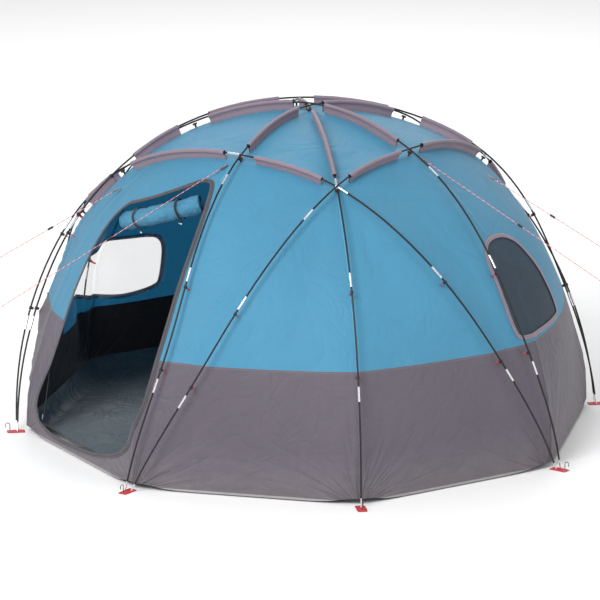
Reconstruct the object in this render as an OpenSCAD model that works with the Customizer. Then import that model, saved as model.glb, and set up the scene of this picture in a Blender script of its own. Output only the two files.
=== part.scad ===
// Eight-foot dome tent: seven jointed fibreglass poles over a panelled fabric canopy.
// Millimetres, +Z up. The origin is on the ground at the centre of the foot circle,
// and the middle foot of the front faces -Y. Azimuth 0 is -Y and grows towards +X.

/* [Frame] */
// Radius of the circle that the eight feet stand on
foot_radius = 1800; // [1780:5:1820]
// Height of the dome surface that the poles lie on, as a share of the foot radius
height_ratio = 1.083; // [1.075:0.001:1.09]
// Diameter of a fibreglass pole section
pole_d = 11; // [9:0.5:12]
// Diameter of a metal ferrule
ferrule_d = 13; // [12.5:0.5:14]
// Length of the bare part of a ferrule
ferrule_len = 86; // [60:2:100]
// Distance from one ferrule to the next along a pole
section_pitch = 700; // [600:10:800]

/* [Canopy] */
// Gap between the dome surface of the poles and the fabric below it
fabric_gap = 60; // [58:1:64]
// Thickness of the solids that stand for fabric panels
panel_t = 4; // [3:0.5:5]
// Height of the top of the grey wall panels
wall_top = 760; // [740:10:780]
// Height of the top of the grey wall panel behind the rear window
low_wall_top = 320; // [310:5:330]
// Clearance between the lower edge of a pole sleeve and the fabric
sleeve_clear = 4; // [3:0.5:8]

/* [Door and windows] */
// Height of the fabric sill of the doorway
sill_height = 110; // [100:5:130]
// Diameter of the rolled up door
door_roll_d = 120; // [110:5:130]

/* [Guy ropes] */
// Diameter of a guy rope
rope_d = 4; // [3.5:0.1:4]
// Length of a rope runner
runner_len = 34; // [30:1:36]

/* [Hidden] */
$fn = 24;

bulge = 2.14;                      // exponent of the dome's rounded outline
dome_h = foot_radius*height_ratio;
cloth_r = foot_radius - fabric_gap + 6;
cloth_h = dome_h - fabric_gap;
sector = 45;
half_sector = sector/2;
round_z = 1500;                    // the canopy has lost its eight corners above this height
eaves_z = 1500;                    // the roof starts here
cap_z = 1800;                      // and its round cap here
flatness = 0.04;                   // the sides and back are this much flatter than the front
layer = pole_d + 2.5;              // poles pass one another this far apart

blue = [0.33, 0.62, 0.75];
grey = [0.44, 0.41, 0.44];
sleeve_grey = [0.49, 0.44, 0.48];
black = [0.08, 0.08, 0.09];
silver = [0.80, 0.80, 0.82];
red = [0.78, 0.10, 0.14];

// ---- the dome surface of the poles ----
function unit_dir(az, el) = [cos(el)*sin(az), -cos(el)*cos(az), sin(el)];
function flat_len(v) = sqrt(v.x*v.x + v.y*v.y);
function reach(u, r, h) = 1/pow(pow(flat_len(u)/r, bulge) + pow(abs(u.z)/h, bulge), 1/bulge);
function unit(v) = v/norm(v);
function lift(az, el, out) = let (u = unit_dir(az, el)) u*(reach(u, foot_radius, dome_h) + out);

// ---- the canopy surface, by azimuth and height ----
function corner(az) = cos(half_sector)/cos((az + 10*sector) % sector - half_sector);
function cornering(z) = z < round_z ? pow(1 - z/round_z, 1.5) : 0;
function sideways(az) = min(1, max(0, 0.6 - cos(az)));
function flatten(az, z) = z < round_z ? 1 - flatness*sideways(az)*sin(180*z/round_z) : 1;
function cloth_rho(az, z) = (1 - (1 - corner(az))*cornering(z))*flatten(az, z)
    *cloth_r*pow(1 - pow(z/cloth_h, bulge), 1/bulge);
function cloth(az, z, out=0) =
    let (rho = cloth_rho(az, z), p = [rho*sin(az), -rho*cos(az), z])
    p + [p.x, p.y, p.z*(z/cloth_h)]/norm([p.x, p.y, p.z*(z/cloth_h)])*out;

// ---- curves ----
function bend(a, b, c, d, t) =
    0.5*(2*b + (c - a)*t + (2*a - 5*b + 4*c - d)*t*t + (3*b - a - 3*c + d)*t*t*t);
function curve(p, n) = let (m = len(p), q = concat([2*p[0] - p[1]], p, [2*p[m-1] - p[m-2]]))
    concat([for (i = [0:m-2]) for (k = [0:n-1]) bend(q[i], q[i+1], q[i+2], q[i+3], k/n)], [p[m-1]]);
function running(p) =
    [for (i = 0, s = 0; i < len(p); s = s + (i + 1 < len(p) ? norm(p[i+1] - p[i]) : 0), i = i + 1) s];
function column(s, p, k) = [for (i = [0:len(p)-1]) [s[i], p[i][k]]];
function measured(p) = let (s = running(p)) [s, column(s, p, 0), column(s, p, 1), column(s, p, 2)];
function at(m, s) = [lookup(s, m[1]), lookup(s, m[2]), lookup(s, m[3])];
function total(m) = m[0][len(m[0])-1];
function heading(m, s) = unit(at(m, s + 8) - at(m, s - 8));

// One ring of a swept section: the profile's +y points away from the tent's centre
function ring(c, t, prof, up) =
    let (side = unit(cross(t, up)), out = cross(side, t)) [for (q = prof) c + q.x*side + q.y*out];
function disc(d, n) = [for (i = [0:n-1]) [d/2*cos(360*i/n), d/2*sin(360*i/n)]];
function tube_faces(rings, n, base=0) = concat(
    [[for (k = [n-1:-1:0]) base + k]],
    [for (i = [0:rings-2]) for (k = [0:n-1]) let (a = base + i*n + k, b = base + i*n + (k+1)%n)
        [a, b, b + n, a + n]],
    [[for (k = [0:n-1]) base + (rings-1)*n + k]]);

// ---- the seven poles, foot to foot ----
// A route node is a direction from the centre of the base and a height over the dome
function way(az, el, out=0) = concat(unit_dir(az, el), [out]);
apex = [0, 90];
j_front = [0, 59.7];               // crossing over the front foot
j_upper = [41.7, 66.9];            // crossings beside the apex, left and right
j_arch = [120, 67.3];              // crossings of the rear arch with the apex poles
j_side = [100, 54];                // crossings of the rear arch with the leaning poles
j_low = [112, 40.7];               // crossings of the low arch with the leaning poles
j_back = [129, 48.6];              // crossings of the low arch with the apex poles
toe = 0.65;                        // two poles share a foot, side by side
// A node on side k (-1 left, 1 right) of the tent, so many pole layers over the dome
function on(k, j, layers=0) = way(k*j[0], j[1], layers*layer);
centre_route = [way(0, 0), way(0, 29), on(1, j_front), on(1, apex), way(180, 75), way(180, 57),
    way(180, 28), way(180, 0)];
function apex_route(k, over) = [way(k*(45 + toe), 0), way(k*38.5, 30), on(k, j_upper), on(k, apex, over),
    on(-k, j_arch), on(-k, j_back), way(-k*134, 20), way(-k*(135 + toe), 0)];
function lean_route(k, over) = [way(k*(45 - toe), 0), way(k*30.5, 25), on(k, j_front, over),
    on(-k, j_upper, 1), on(-k, j_side), on(-k, j_low), way(-k*127, 18), way(-k*(135 - toe), 0)];
leg_in = -34;                      // the rear arch's legs run flatter than the dome
rear_route = [way(-(90 - toe), 0), way(-99, 26, leg_in), on(-1, j_side, 1), on(-1, j_arch, 1),
    way(180, 75, layer), on(1, j_arch, 1), on(1, j_side, 1), way(99, 26, leg_in), way(90 - toe, 0)];
low_route = [way(-(90 + toe), 0), way(-101.5, 24), on(-1, j_low, 1), on(-1, j_back, 1),
    way(180, 57, layer), on(1, j_back, 1), on(1, j_low, 1), way(101.5, 24), way(90 + toe, 0)];
function dome_pt(q) = let (u = unit([q.x, q.y, q.z])) u*(reach(u, foot_radius, dome_h) + q[3]);
function draped(route) = [for (q = curve(route, steps)) dome_pt(q)];
steps = 10;                        // samples between two nodes of a route
centre = measured(draped(centre_route));
left_apex = measured(draped(apex_route(-1, 1)));
right_apex = measured(draped(apex_route(1, 2)));
left_lean = measured(draped(lean_route(-1, 2)));
right_lean = measured(draped(lean_route(1, 1)));
rear_arch = measured(draped(rear_route));
low_arch = measured(draped(low_route));
POLES = [centre, left_apex, right_apex, left_lean, right_lean, rear_arch, low_arch];
tip_len = 62;                      // metal tip that ends each pole
tip_d = 8;
tab_t = 3;

// A pole as one closed shell for each section between two ferrules
function joins(m) = round(total(m)/section_pitch);
function join_at(m, i) = total(m)*i/joins(m);
rings_each = 8;
module pole(m) {
    gap = 0.6;
    n = joins(m);
    from = [for (i = [0:n-1]) i == 0 ? tip_len + gap : join_at(m, i) + ferrule_len/2 + gap];
    till = [for (i = [0:n-1]) join_at(m, i+1) - gap - (i == n-1 ? tip_len : ferrule_len/2)];
    sides = 8;
    points = [for (i = [0:n-1]) for (k = [0:rings_each-1])
        let (s = from[i] + (till[i] - from[i])*k/(rings_each-1), c = at(m, s))
        each ring(c, heading(m, s), disc(pole_d, sides), c)];
    faces = [for (i = [0:n-1]) each tube_faces(rings_each, sides, i*rings_each*sides)];
    color(black) polyhedron(points, faces);
}

// Stands children, built along +Z, at p and points them along d
module along(p, d) {
    translate(p) rotate([0, acos(d.z/norm(d)), atan2(d.y, d.x)]) children();
}

module ferrules() {
    color(silver) for (m = POLES) for (i = [1:joins(m)-1]) {
        s = join_at(m, i);
        t = heading(m, s);
        along(at(m, s) - t*ferrule_len/2, t) cylinder(h=ferrule_len, d=ferrule_d);
    }
}

module pole_tips() {
    color(silver) for (m = POLES) for (end = [0, 1]) {
        s = end == 0 ? tip_len : total(m) - tip_len;
        foot = at(m, end*total(m)) + [0, 0, tab_t + 3];
        top = at(m, s);
        along(foot, top - foot) cylinder(h=norm(top - foot) - 0.4, d=tip_d);
    }
}

// Frame of a foot: +x points out from the tent
module each_foot() { for (az = [0:sector:315]) rotate(az - 90) translate([foot_radius, 0, 0]) children(); }
tab_in = 46;
tab_out = 62;
tab_w = 58;
module foot_tabs() {
    color(red) each_foot() difference() {
        translate([-tab_in, -tab_w/2, 0]) cube([tab_in + tab_out, tab_w, tab_t]);
        translate([tab_out - 18, 0, -1]) cylinder(h=tab_t + 2, d=16);
    }
}
module foot_eyelets() {
    color(silver) each_foot() translate([tab_out - 18, 0, 0]) rotate_extrude()
        translate([5.4, 0.2]) square([2.2, tab_t + 1.6]);
}
module peg_hooks() {
    hook_d = 4.4;
    hook_r = 13;
    hook_top = 44;
    sides = 8;
    path = concat([[0, 0, 0.4]],
        [for (a = [180:-22.5:0]) [hook_r + hook_r*cos(a), 0, hook_top + hook_r*sin(a)]],
        [[2*hook_r, 0, hook_top - 14]]);
    n = len(path);
    points = [for (i = [0:n-1]) let (t = unit(path[min(i+1, n-1)] - path[max(i-1, 0)]))
        each ring(path[i], t, disc(hook_d, sides), [0, 1, 0])];
    color(black) each_foot() translate([tab_out - 18, 0, 0]) polyhedron(points, tube_faces(n, sides));
}

module ground_sheet() {
    color([0.16, 0.23, 0.27]) linear_extrude(4)
        polygon([for (az = [0:sector:315]) (cloth_r - 12)*[sin(az), -cos(az)]]);
}

// ---- fabric panels: a curved grid of cells, some of them left open ----
function grid(a, b, n) = [for (i = [0:n]) a + (b - a)*i/n];
module panel(azs, zs, open=[[0, 0, 0, 0]], out=0, t=panel_t) {
    na = len(azs);
    nz = len(zs);
    function inside(i, j, w) = let (a = (azs[i] + azs[i+1])/2, z = (zs[j] + zs[j+1])/2)
        a > w[0] && a < w[1] && z > w[2] && z < w[3];
    function solid(i, j) = i >= 0 && j >= 0 && i < na-1 && j < nz-1
        && len([for (w = open) if (inside(i, j, w)) 1]) == 0;
    outer = [for (z = zs) for (a = azs) cloth(a, z, out)];
    inner = [for (z = zs) for (a = azs) cloth(a, z, out - t)];
    m = na*nz;
    faces = [for (j = [0:nz-2]) for (i = [0:na-2]) if (solid(i, j))
        let (a = j*na + i, b = a + 1, c = b + na, d = a + na)
        each concat([[a, d, c], [a, c, b], [m + a, m + b, m + c], [m + a, m + c, m + d]],
            solid(i, j-1) ? [] : [[a, b, m + b, m + a]],
            solid(i, j+1) ? [] : [[c, d, m + d, m + c]],
            solid(i-1, j) ? [] : [[d, a, m + a, m + d]],
            solid(i+1, j) ? [] : [[b, c, m + c, m + b]])];
    polyhedron(concat(outer, inner), faces);
}
seam = 0.12;                       // half the gap between panels, in degrees
hem_z = 5;
step_az = 7;
function sector_azs(k) = grid(k*sector + seam, (k+1)*sector - seam, step_az);
module wall(k, top) { color(grey) panel(sector_azs(k), grid(hem_z, top - 1, 4)); }
module canopy(k, low) { color(blue) panel(sector_azs(k), grid(low + 1, eaves_z - 2, 6)); }

window_az = [39, 64];               // the side window spans two sectors
window_z = [wall_top + 30, 1330];
window_zs = concat([wall_top + 1], grid(window_z[0], window_z[1], 4), [1420, eaves_z - 2]);
WINDOW = [[window_az[0], window_az[1], window_z[0], window_z[1]]];
module canopy_front_right() {
    color(blue) panel(concat(grid(seam, window_az[0], 6), [sector - seam]), window_zs, WINDOW);
}
// The doorway's front side leans into the next sector, beside the left apex pole
door_side = [318.2, 321];
lean_azs = concat([7*sector + seam, door_side[0]], grid(door_side[1], 8*sector - seam, 6));
module wall_front_left() {
    color(grey) panel(lean_azs, grid(hem_z, wall_top - 1, 4),
        [[0, door_side[0], 380, wall_top], [0, door_side[1], 570, wall_top]]);
}
module canopy_front_left() {
    color(blue) panel(lean_azs, grid(wall_top + 1, eaves_z - 2, 6), [[0, door_side[1], wall_top, eaves_z]]);
}
module canopy_right() {
    azs = concat([sector + seam], grid(50, window_az[1], 3), [72, 81, 2*sector - seam]);
    color(blue) panel(azs, window_zs, WINDOW);
}
pane_az = [203, 220];
pane_z = [360, 700];
module canopy_rear_left() {
    azs = concat([4*sector + seam, 192], grid(pane_az[0], pane_az[1], 4), [5*sector - seam]);
    zs = concat([low_wall_top + 1], grid(pane_z[0], pane_z[1], 3), grid(860, eaves_z - 2, 4));
    color(blue) panel(azs, zs, [[pane_az[0], pane_az[1], pane_z[0], pane_z[1]]]);
}
door_az = [276, 311];
// The doorway's top rises in steps towards the front, under the leaning pole
DOOR = [[door_az[0], door_az[1], sill_height, eaves_z], [door_az[0], 7*sector, 300, eaves_z],
    [290, door_az[1], eaves_z, 1590], [300, door_az[1], 1590, 1670]];
module door_surround() {
    azs = [6*sector + seam, door_az[0], 283, 290, 295, 300, 305.5, door_az[1], 7*sector - seam];
    zs = concat([hem_z], grid(sill_height, eaves_z, 6), [1590, 1670, cap_z - 2]);
    color(blue) panel(azs, zs, DOOR);
}
module roof_ring() {
    color(blue) panel(grid(-sector + seam, 6*sector - seam, 42), grid(eaves_z + 4, cap_z - 2, 4));
}
module roof_cap() {
    rings = 9;
    zs = [for (i = [0:rings]) cloth_h - (cloth_h - cap_z)*pow(1 - i/rings, 2)];
    outer = [for (z = zs) [cloth_rho(0, min(z, cloth_h)), z]];
    inner = [for (i = [rings:-1:0]) [outer[i].x*0.997, zs[i] - panel_t]];
    color(blue) rotate_extrude($fn=64) polygon(concat(outer, inner));
}

// ---- pole sleeves: a loop round the pole with a fin of fabric below it ----
sleeve_in = ferrule_d/2 + 3.2;
sleeve_out = sleeve_in + 1.4;
loop_n = 12;
fin_t = 2.6;
function loop_pt(r, i) = let (a = -90 + 360*(i + 0.5)/loop_n) [r*cos(a), r*sin(a)];
inner_loop = [for (i = [0:loop_n-1]) loop_pt(sleeve_in, i)];
// The loop's outer profile, with its lowest pair of points drawn down to a depth
function fin_loop(drop) = [for (i = [0:loop_n-1])
    i == 0 ? [fin_t/2, -drop] : i == loop_n-1 ? [-fin_t/2, -drop] : loop_pt(sleeve_out, i)];
function fin_drop(c) = norm(c) - reach(unit(c), cloth_r, cloth_h) - sleeve_clear;
module sleeve(m, s0, s1) {
    n = max(3, round((s1 - s0)/75));
    spots = [for (k = [0:n]) s0 + (s1 - s0)*k/n];
    outer = [for (s = spots) let (c = at(m, s)) each ring(c, heading(m, s), fin_loop(fin_drop(c)), c)];
    inner = [for (s = spots) let (c = at(m, s)) each ring(c, heading(m, s), inner_loop, c)];
    half = (n+1)*loop_n;
    faces = concat(
        [for (k = [0:n-1]) for (i = [0:loop_n-1]) let (a = k*loop_n + i, b = k*loop_n + (i+1)%loop_n)
            each [[a, b, b + loop_n, a + loop_n],
                [half + b, half + a, half + a + loop_n, half + b + loop_n]]],
        [for (i = [0:loop_n-1]) let (j = (i+1)%loop_n, e = n*loop_n)
            each [[j, i, half + i, half + j], [e + i, e + j, half + e + j, half + e + i]]]);
    color(sleeve_grey) polyhedron(concat(outer, inner), faces);
}
// Distance along pole m of node i of its route
function node_at(m, i) = m[0][i*steps];
gap_end = 110;                     // bare pole on either side of a crossing
module sleeve_between(m, i, j) { sleeve(m, node_at(m, i) + gap_end, node_at(m, j) - gap_end); }
module sleeves_apex() {
    for (i = [2:4]) sleeve_between(centre, i, i+1);
    sleeve_between(left_apex, 2, 3);
    sleeve_between(left_apex, 3, 4);
    sleeve_between(right_apex, 2, 3);
    sleeve_between(right_apex, 3, 4);
}
module sleeves_front() {
    for (m = [left_lean, right_lean]) {
        sleeve_between(m, 2, 3);
        sleeve_between(m, 3, 4);
        sleeve_between(m, 4, 5);
    }
}
module sleeves_rear() {
    for (i = [2:5]) sleeve_between(rear_arch, i, i+1);
    for (i = [2:5]) sleeve_between(low_arch, i, i+1);
}

// ---- clips on the bare legs: a hook round the pole and a webbing strap to the fabric ----
hook_w = 16;
hook_in = pole_d/2 + 1.3;
hook_out = hook_in + 2.4;
strap_w = 18;
strap_t = 2;
// Where the clips sit: pole, distance along it, on both legs, each beside a ferrule
CLIPS = [for (m = POLES) for (s = [join_at(m, 1) + 95, join_at(m, 2) - 75])
    each [[m, s], [m, total(m) - s]]];
module at_clip(c) {
    m = c[0];
    s = c[1];
    p = at(m, s);
    t = heading(m, s);
    side = unit(cross(t, p));
    out = cross(side, t);
    multmatrix([[side.x, out.x, -t.x, p.x], [side.y, out.y, -t.y, p.y], [side.z, out.z, -t.z, p.z]])
        children();
}
module clip_hooks() {
    color(black) for (c = CLIPS) at_clip(c) translate([0, 0, -hook_w/2]) difference() {
        union() {
            cylinder(h=hook_w, r=hook_out);
            translate([-4, -hook_out - 9, 0]) cube([8, 10, hook_w]);
        }
        translate([0, 0, -1]) cylinder(h=hook_w + 2, r=hook_in);
    }
}
strap_len = 26;
module clip_straps() {
    color(red) for (c = CLIPS) at_clip(c)
        translate([-strap_w/2, -hook_out - 9.4 - strap_len, -strap_t/2]) cube([strap_w, strap_len, strap_t]);
}

// ---- webbing wrapped round the poles where they cross ----
CROSSINGS = concat([j_front, apex, [180, 75], [180, 57]],
    [for (j = [j_upper, j_arch, j_side, j_low]) each [[-j[0], j[1]], j]]);
wrap_len = 12;
module crossing_wraps() {
    color(black) for (c = CROSSINGS)
        along(lift(c[0], c[1], -ferrule_d/2 - 3), -unit_dir(c[0], c[1])) cylinder(h=wrap_len, d=30);
}

// ---- the doorway ----
roll_from = 279;
roll_to = 308;
roll_z = [1400, 1600];             // it rises with the top of the doorway
roll_gap = 96;                     // and hangs this far inside the canopy
function roll_pt(a) =
    cloth(a, roll_z[0] + (roll_z[1] - roll_z[0])*(a - roll_from)/(roll_to - roll_from), -roll_gap);
roll_pts = [for (a = grid(roll_from, roll_to, 10)) roll_pt(a)];
module rolled_door() {
    sides = 12;
    n = len(roll_pts);
    m = measured(roll_pts);
    points = [for (i = [0:n-1]) let (s = total(m)*i/(n-1), c = at(m, s))
        each ring(c, unit(at(m, s + 20) - at(m, s - 20)),
            disc(door_roll_d*(i == 0 || i == n-1 ? 0.8 : 1), sides), [0, 0, 1])];
    color([0.20, 0.45, 0.58]) polyhedron(points, tube_faces(n, sides));
}
TIES = [286, 301];
tie_w = 14;
module door_ties() {
    color(black) for (a = TIES) {
        t = unit(roll_pt(a + 1) - roll_pt(a - 1));
        along(roll_pt(a) - t*tie_w/2, t) rotate_extrude($fn=32)
            translate([door_roll_d/2 + 2.5, 0]) square([2.5, tie_w]);
    }
}
toggle_len = 30;
toggle_d = 9;
toggle_drop = door_roll_d/2 + 28;
module toggle(a) {
    color("white") translate(roll_pt(a) - [0, 0, toggle_drop]) rotate([0, 0, a - 360])
        translate([-toggle_len/2, 0, 0]) rotate([0, 90, 0]) cylinder(h=toggle_len, d=toggle_d);
}

// The straight stretch of the door's zip, its slider and its pull
zip_low = [-1656, -192, 130];
zip_high = [-1612, -187, 430];
zip_dir = unit(zip_high - zip_low);
coil_d = 5;
module door_zip() {
    color(black) along(zip_low, zip_dir) cylinder(h=norm(zip_high - zip_low), d=coil_d);
}
slider_len = 16;
module zip_slider() {
    color(black) along(zip_low + zip_dir*20, zip_dir) difference() {
        translate([-5.5, -5.5, 0]) cube([11, 11, slider_len]);
        translate([0, 0, -1]) cylinder(h=slider_len + 2, d=coil_d + 0.8);
    }
}
pull_len = 30;
module zip_pull() {
    color(silver) along(zip_low + zip_dir*20, zip_dir) translate([-9, -2.5, slider_len/2 - pull_len])
        cube([2.5, 5, pull_len]);
}

// ---- windows: mesh or clear film behind the opening, and a binding round it ----
module window_mesh() {
    color([0.19, 0.27, 0.33]) panel(grid(window_az[0] - 0.6, window_az[1] + 0.6, 5),
        grid(window_z[0] + 2, window_z[1] + 14, 4), out=-panel_t - 5, t=2);
}
bind_az = 0.7;
bind_z = 16;
module frame_of(az, z, out) {
    azs = concat([az[0] - bind_az], grid(az[0], az[1], 4), [az[1] + bind_az]);
    zs = concat([z[0] - bind_z], grid(z[0], z[1], 4), [z[1] + bind_z]);
    color(sleeve_grey) panel(azs, zs, [[az[0], az[1], z[0], z[1]]], out=out, t=2);
}
module window_binding() { frame_of(window_az, window_z, 6); }
module rear_window_pane() {
    color([0.80, 0.79, 0.77]) panel(grid(pane_az[0] - 0.6, pane_az[1] + 0.6, 4),
        grid(pane_z[0] - 12, pane_z[1] + 12, 3), out=-panel_t - 5, t=2);
}
module rear_window_binding() { frame_of(pane_az, pane_z, 6); }

// ---- guy ropes: straight between a tab on the canopy and a loop past the tent's edge ----
front_left_rope = [[-630, -560, 1720], [-2080, -840, 940]];
left_rope = [[-1200, 0, 1470], [-2020, -200, 1080]];
front_right_rope = [[610, -590, 1720], [1670, -1300, 1020]];
right_rope = [[1080, -310, 1530], [1720, -820, 1150]];
rope_rings = 18;
function rope_pts(r) = [for (i = [0:rope_rings-1]) r[0] + (r[1] - r[0])*i/(rope_rings-1)];
module rope(r) {
    t = unit(r[1] - r[0]);
    points = [for (c = rope_pts(r)) each ring(c, t, disc(rope_d, 8), [0, 0, 1])];
    color([0.55, 0.10, 0.16]) polyhedron(points, tube_faces(rope_rings, 8));
}
runner_from = 0.45;                // share of the rope at the runner's rest place
module runner(r) {
    t = unit(r[1] - r[0]);
    color(black) along(r[0] + (r[1] - r[0])*runner_from, t) difference() {
        cylinder(h=runner_len, d=13);
        translate([0, 0, -1]) cylinder(h=runner_len + 2, d=rope_d + 1);
    }
}
module rope_loops() {
    color(silver) for (r = [front_left_rope, left_rope, front_right_rope, right_rope]) {
        t = unit(r[1] - r[0]);
        translate(r[1] + t*14.5) rotate([90, 0, atan2(t.y, t.x)]) rotate_extrude()
            translate([12, 0]) circle(d=4, $fn=16);
    }
}
module guy_tabs() {
    color(sleeve_grey) for (r = [front_left_rope, left_rope, front_right_rope, right_rope]) {
        t = unit(r[1] - r[0]);
        along(r[0] - t*56, t) translate([-9, -1.5, 0]) cube([18, 3, 55]);
    }
}

pole(centre);  // pole_centre
pole(left_apex);  // pole_left_apex
pole(right_apex);  // pole_right_apex
pole(left_lean);  // pole_left_lean
pole(right_lean);  // pole_right_lean
pole(rear_arch);  // pole_rear_arch
pole(low_arch);  // pole_low_arch
ferrules();
pole_tips();
foot_tabs();
foot_eyelets();
peg_hooks();
ground_sheet();
wall_front_left();
wall(0, wall_top);  // wall_front_right
wall(1, wall_top);  // wall_right
wall(2, wall_top);  // wall_right_rear
wall(3, wall_top);  // wall_rear_right
wall(4, low_wall_top);  // wall_rear_left
wall(5, wall_top);  // wall_left_rear
canopy_front_left();
canopy_front_right();
canopy_right();
canopy(2, wall_top);  // canopy_right_rear
canopy(3, wall_top);  // canopy_rear_right
canopy_rear_left();
canopy(5, wall_top);  // canopy_left_rear
door_surround();
roof_ring();
roof_cap();
sleeves_apex();
sleeves_front();
sleeves_rear();
clip_hooks();
clip_straps();
crossing_wraps();
rolled_door();
door_ties();
toggle(TIES[0]);  // toggle_left
toggle(TIES[1]);  // toggle_right
door_zip();
zip_slider();
zip_pull();
window_mesh();
window_binding();
rear_window_pane();
rear_window_binding();
guy_tabs();
rope(front_left_rope);  // rope_front_left
rope(left_rope);  // rope_left
rope(front_right_rope);  // rope_front_right
rope(right_rope);  // rope_right
runner(front_left_rope);  // runner_front_left
runner(left_rope);  // runner_left
runner(front_right_rope);  // runner_front_right
runner(right_rope);  // runner_right
rope_loops();
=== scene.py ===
import math

import bmesh
import bpy
import numpy as np
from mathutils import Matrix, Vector, noise
from mathutils.kdtree import KDTree


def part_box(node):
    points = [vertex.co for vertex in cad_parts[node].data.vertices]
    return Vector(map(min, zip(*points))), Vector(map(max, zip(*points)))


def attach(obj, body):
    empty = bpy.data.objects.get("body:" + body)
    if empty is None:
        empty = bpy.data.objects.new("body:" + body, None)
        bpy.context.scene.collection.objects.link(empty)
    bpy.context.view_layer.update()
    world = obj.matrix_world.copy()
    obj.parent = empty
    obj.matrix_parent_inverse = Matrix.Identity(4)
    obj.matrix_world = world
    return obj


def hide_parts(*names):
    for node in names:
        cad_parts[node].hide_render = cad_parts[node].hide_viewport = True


# Soft parts, ropes and finishes of a dome tent that stands on eight feet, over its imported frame.
# Metres, +Z up. Azimuth 0 is the front foot at -Y and grows towards +X.
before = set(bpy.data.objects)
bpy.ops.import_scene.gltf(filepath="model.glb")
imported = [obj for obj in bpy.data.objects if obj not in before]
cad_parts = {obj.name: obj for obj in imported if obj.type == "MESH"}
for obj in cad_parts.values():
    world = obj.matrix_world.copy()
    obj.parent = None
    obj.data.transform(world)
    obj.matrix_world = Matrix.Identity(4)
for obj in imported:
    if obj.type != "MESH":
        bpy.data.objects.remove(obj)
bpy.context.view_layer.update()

SECTOR = 45  # degrees from one foot to the next
FLAT_SIDES = np.arange(SECTOR / 2, 360, SECTOR)  # azimuths of the middles of the eight sides
FOOT_RADIUS = 1.8
DOME_HEIGHT = 1.9494
CLOTH_RADIUS = 1.746
CLOTH_HEIGHT = 1.8894
BULGE = 2.14  # the power of the dome's profile: 2 would be an ellipse
LAYER = 0.0135  # poles pass one another this far apart
ROUND_Z = 1.5  # the canopy has lost its eight corners above this height
WALL_TOP, LOW_WALL_TOP = 0.76, 0.43
UNDER_POLE = 0.050  # the cloth is drawn up to this far below a pole's centre
GIRTH_RADIUS = 1.6  # the cloth's UV map measures round the tent at this radius
FOOT_SPACING = 1.2566  # and there the feet are this far apart along u
TAPE_OUT = 0.0022  # edging tapes lie this far out from the cloth


# ---------------------------------------------------------------- camera, light and ground
def set_camera():
    """A long lens from the front, a little above the tent and to its left."""
    data = bpy.data.cameras.new("camera")
    data.lens, data.sensor_width, data.shift_x, data.clip_end = 228.7, 36, -0.0165, 400
    camera = bpy.data.objects.new("camera", data)
    bpy.context.collection.objects.link(camera)
    camera.location = (-3.646, -22.113, 6.862)
    camera.rotation_euler = Vector((0.1570, 0.9519, -0.2632)).to_track_quat("-Z", "Y").to_euler()
    bpy.context.scene.camera = camera


def soft_box(name, place, size, power):
    """A square lamp that faces the middle of the tent."""
    data = bpy.data.lights.new(name, "AREA")
    data.size, data.energy = size, power
    lamp = bpy.data.objects.new(name, data)
    bpy.context.collection.objects.link(lamp)
    lamp.location = place
    lamp.rotation_euler = (Vector((0, 0, 0.8)) - Vector(place)).to_track_quat("-Z", "Y").to_euler()


def set_studio():
    """White surroundings, three lamps and a pale floor."""
    scene = bpy.context.scene
    scene.view_settings.view_transform = "Standard"
    world = bpy.data.worlds.new("studio")
    world.use_nodes = True
    background = world.node_tree.nodes["Background"]
    background.inputs["Color"].default_value = (1.0, 1.0, 1.0, 1)
    background.inputs["Strength"].default_value = 0.66
    scene.world = world
    soft_box("key_light", (-8.0, -10.0, 9.5), 6.0, 1900)
    soft_box("fill_light", (9.0, -9.0, 6.0), 7.0, 300)
    soft_box("back_light", (2.0, 10.0, 10.0), 8.0, 700)
    bm = bmesh.new()
    bmesh.ops.create_grid(bm, x_segments=1, y_segments=1, size=160)
    mesh = bpy.data.meshes.new("studio_floor")
    bm.to_mesh(mesh)
    bm.free()
    floor = bpy.data.objects.new("studio_floor", mesh)
    bpy.context.collection.objects.link(floor)
    pale = bpy.data.materials.new("studio_paper")
    pale.use_nodes = True
    paper = pale.node_tree.nodes["Principled BSDF"]
    paper.inputs["Base Color"].default_value = (0.88, 0.88, 0.88, 1)
    paper.inputs["Roughness"].default_value = 0.95
    mesh.materials.append(pale)


# ---------------------------------------------------------------- the dome and its seven poles
def direction(azimuth, elevation):
    """Unit vector for an azimuth and an elevation in degrees."""
    a, e = math.radians(azimuth), math.radians(elevation)
    return np.array([math.cos(e) * math.sin(a), -math.cos(e) * math.cos(a), math.sin(e)])


def dome_point(node):
    """A route node, a direction and a height over the dome, as a place on the poles' dome."""
    unit = node[:3] / np.linalg.norm(node[:3])
    flat = math.hypot(unit[0], unit[1]) / FOOT_RADIUS
    reach = (flat**BULGE + (abs(unit[2]) / DOME_HEIGHT) ** BULGE) ** (-1 / BULGE)
    return unit * (reach + node[3])


def on_curve(a, b, c, d, t):
    """The place that is a share t of the way from b to c, on a smooth curve through a, b, c and d."""
    return 0.5 * (2 * b + (c - a) * t + (2 * a - 5 * b + 4 * c - d) * t * t + (3 * b - a - 3 * c + d) * t**3)


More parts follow.
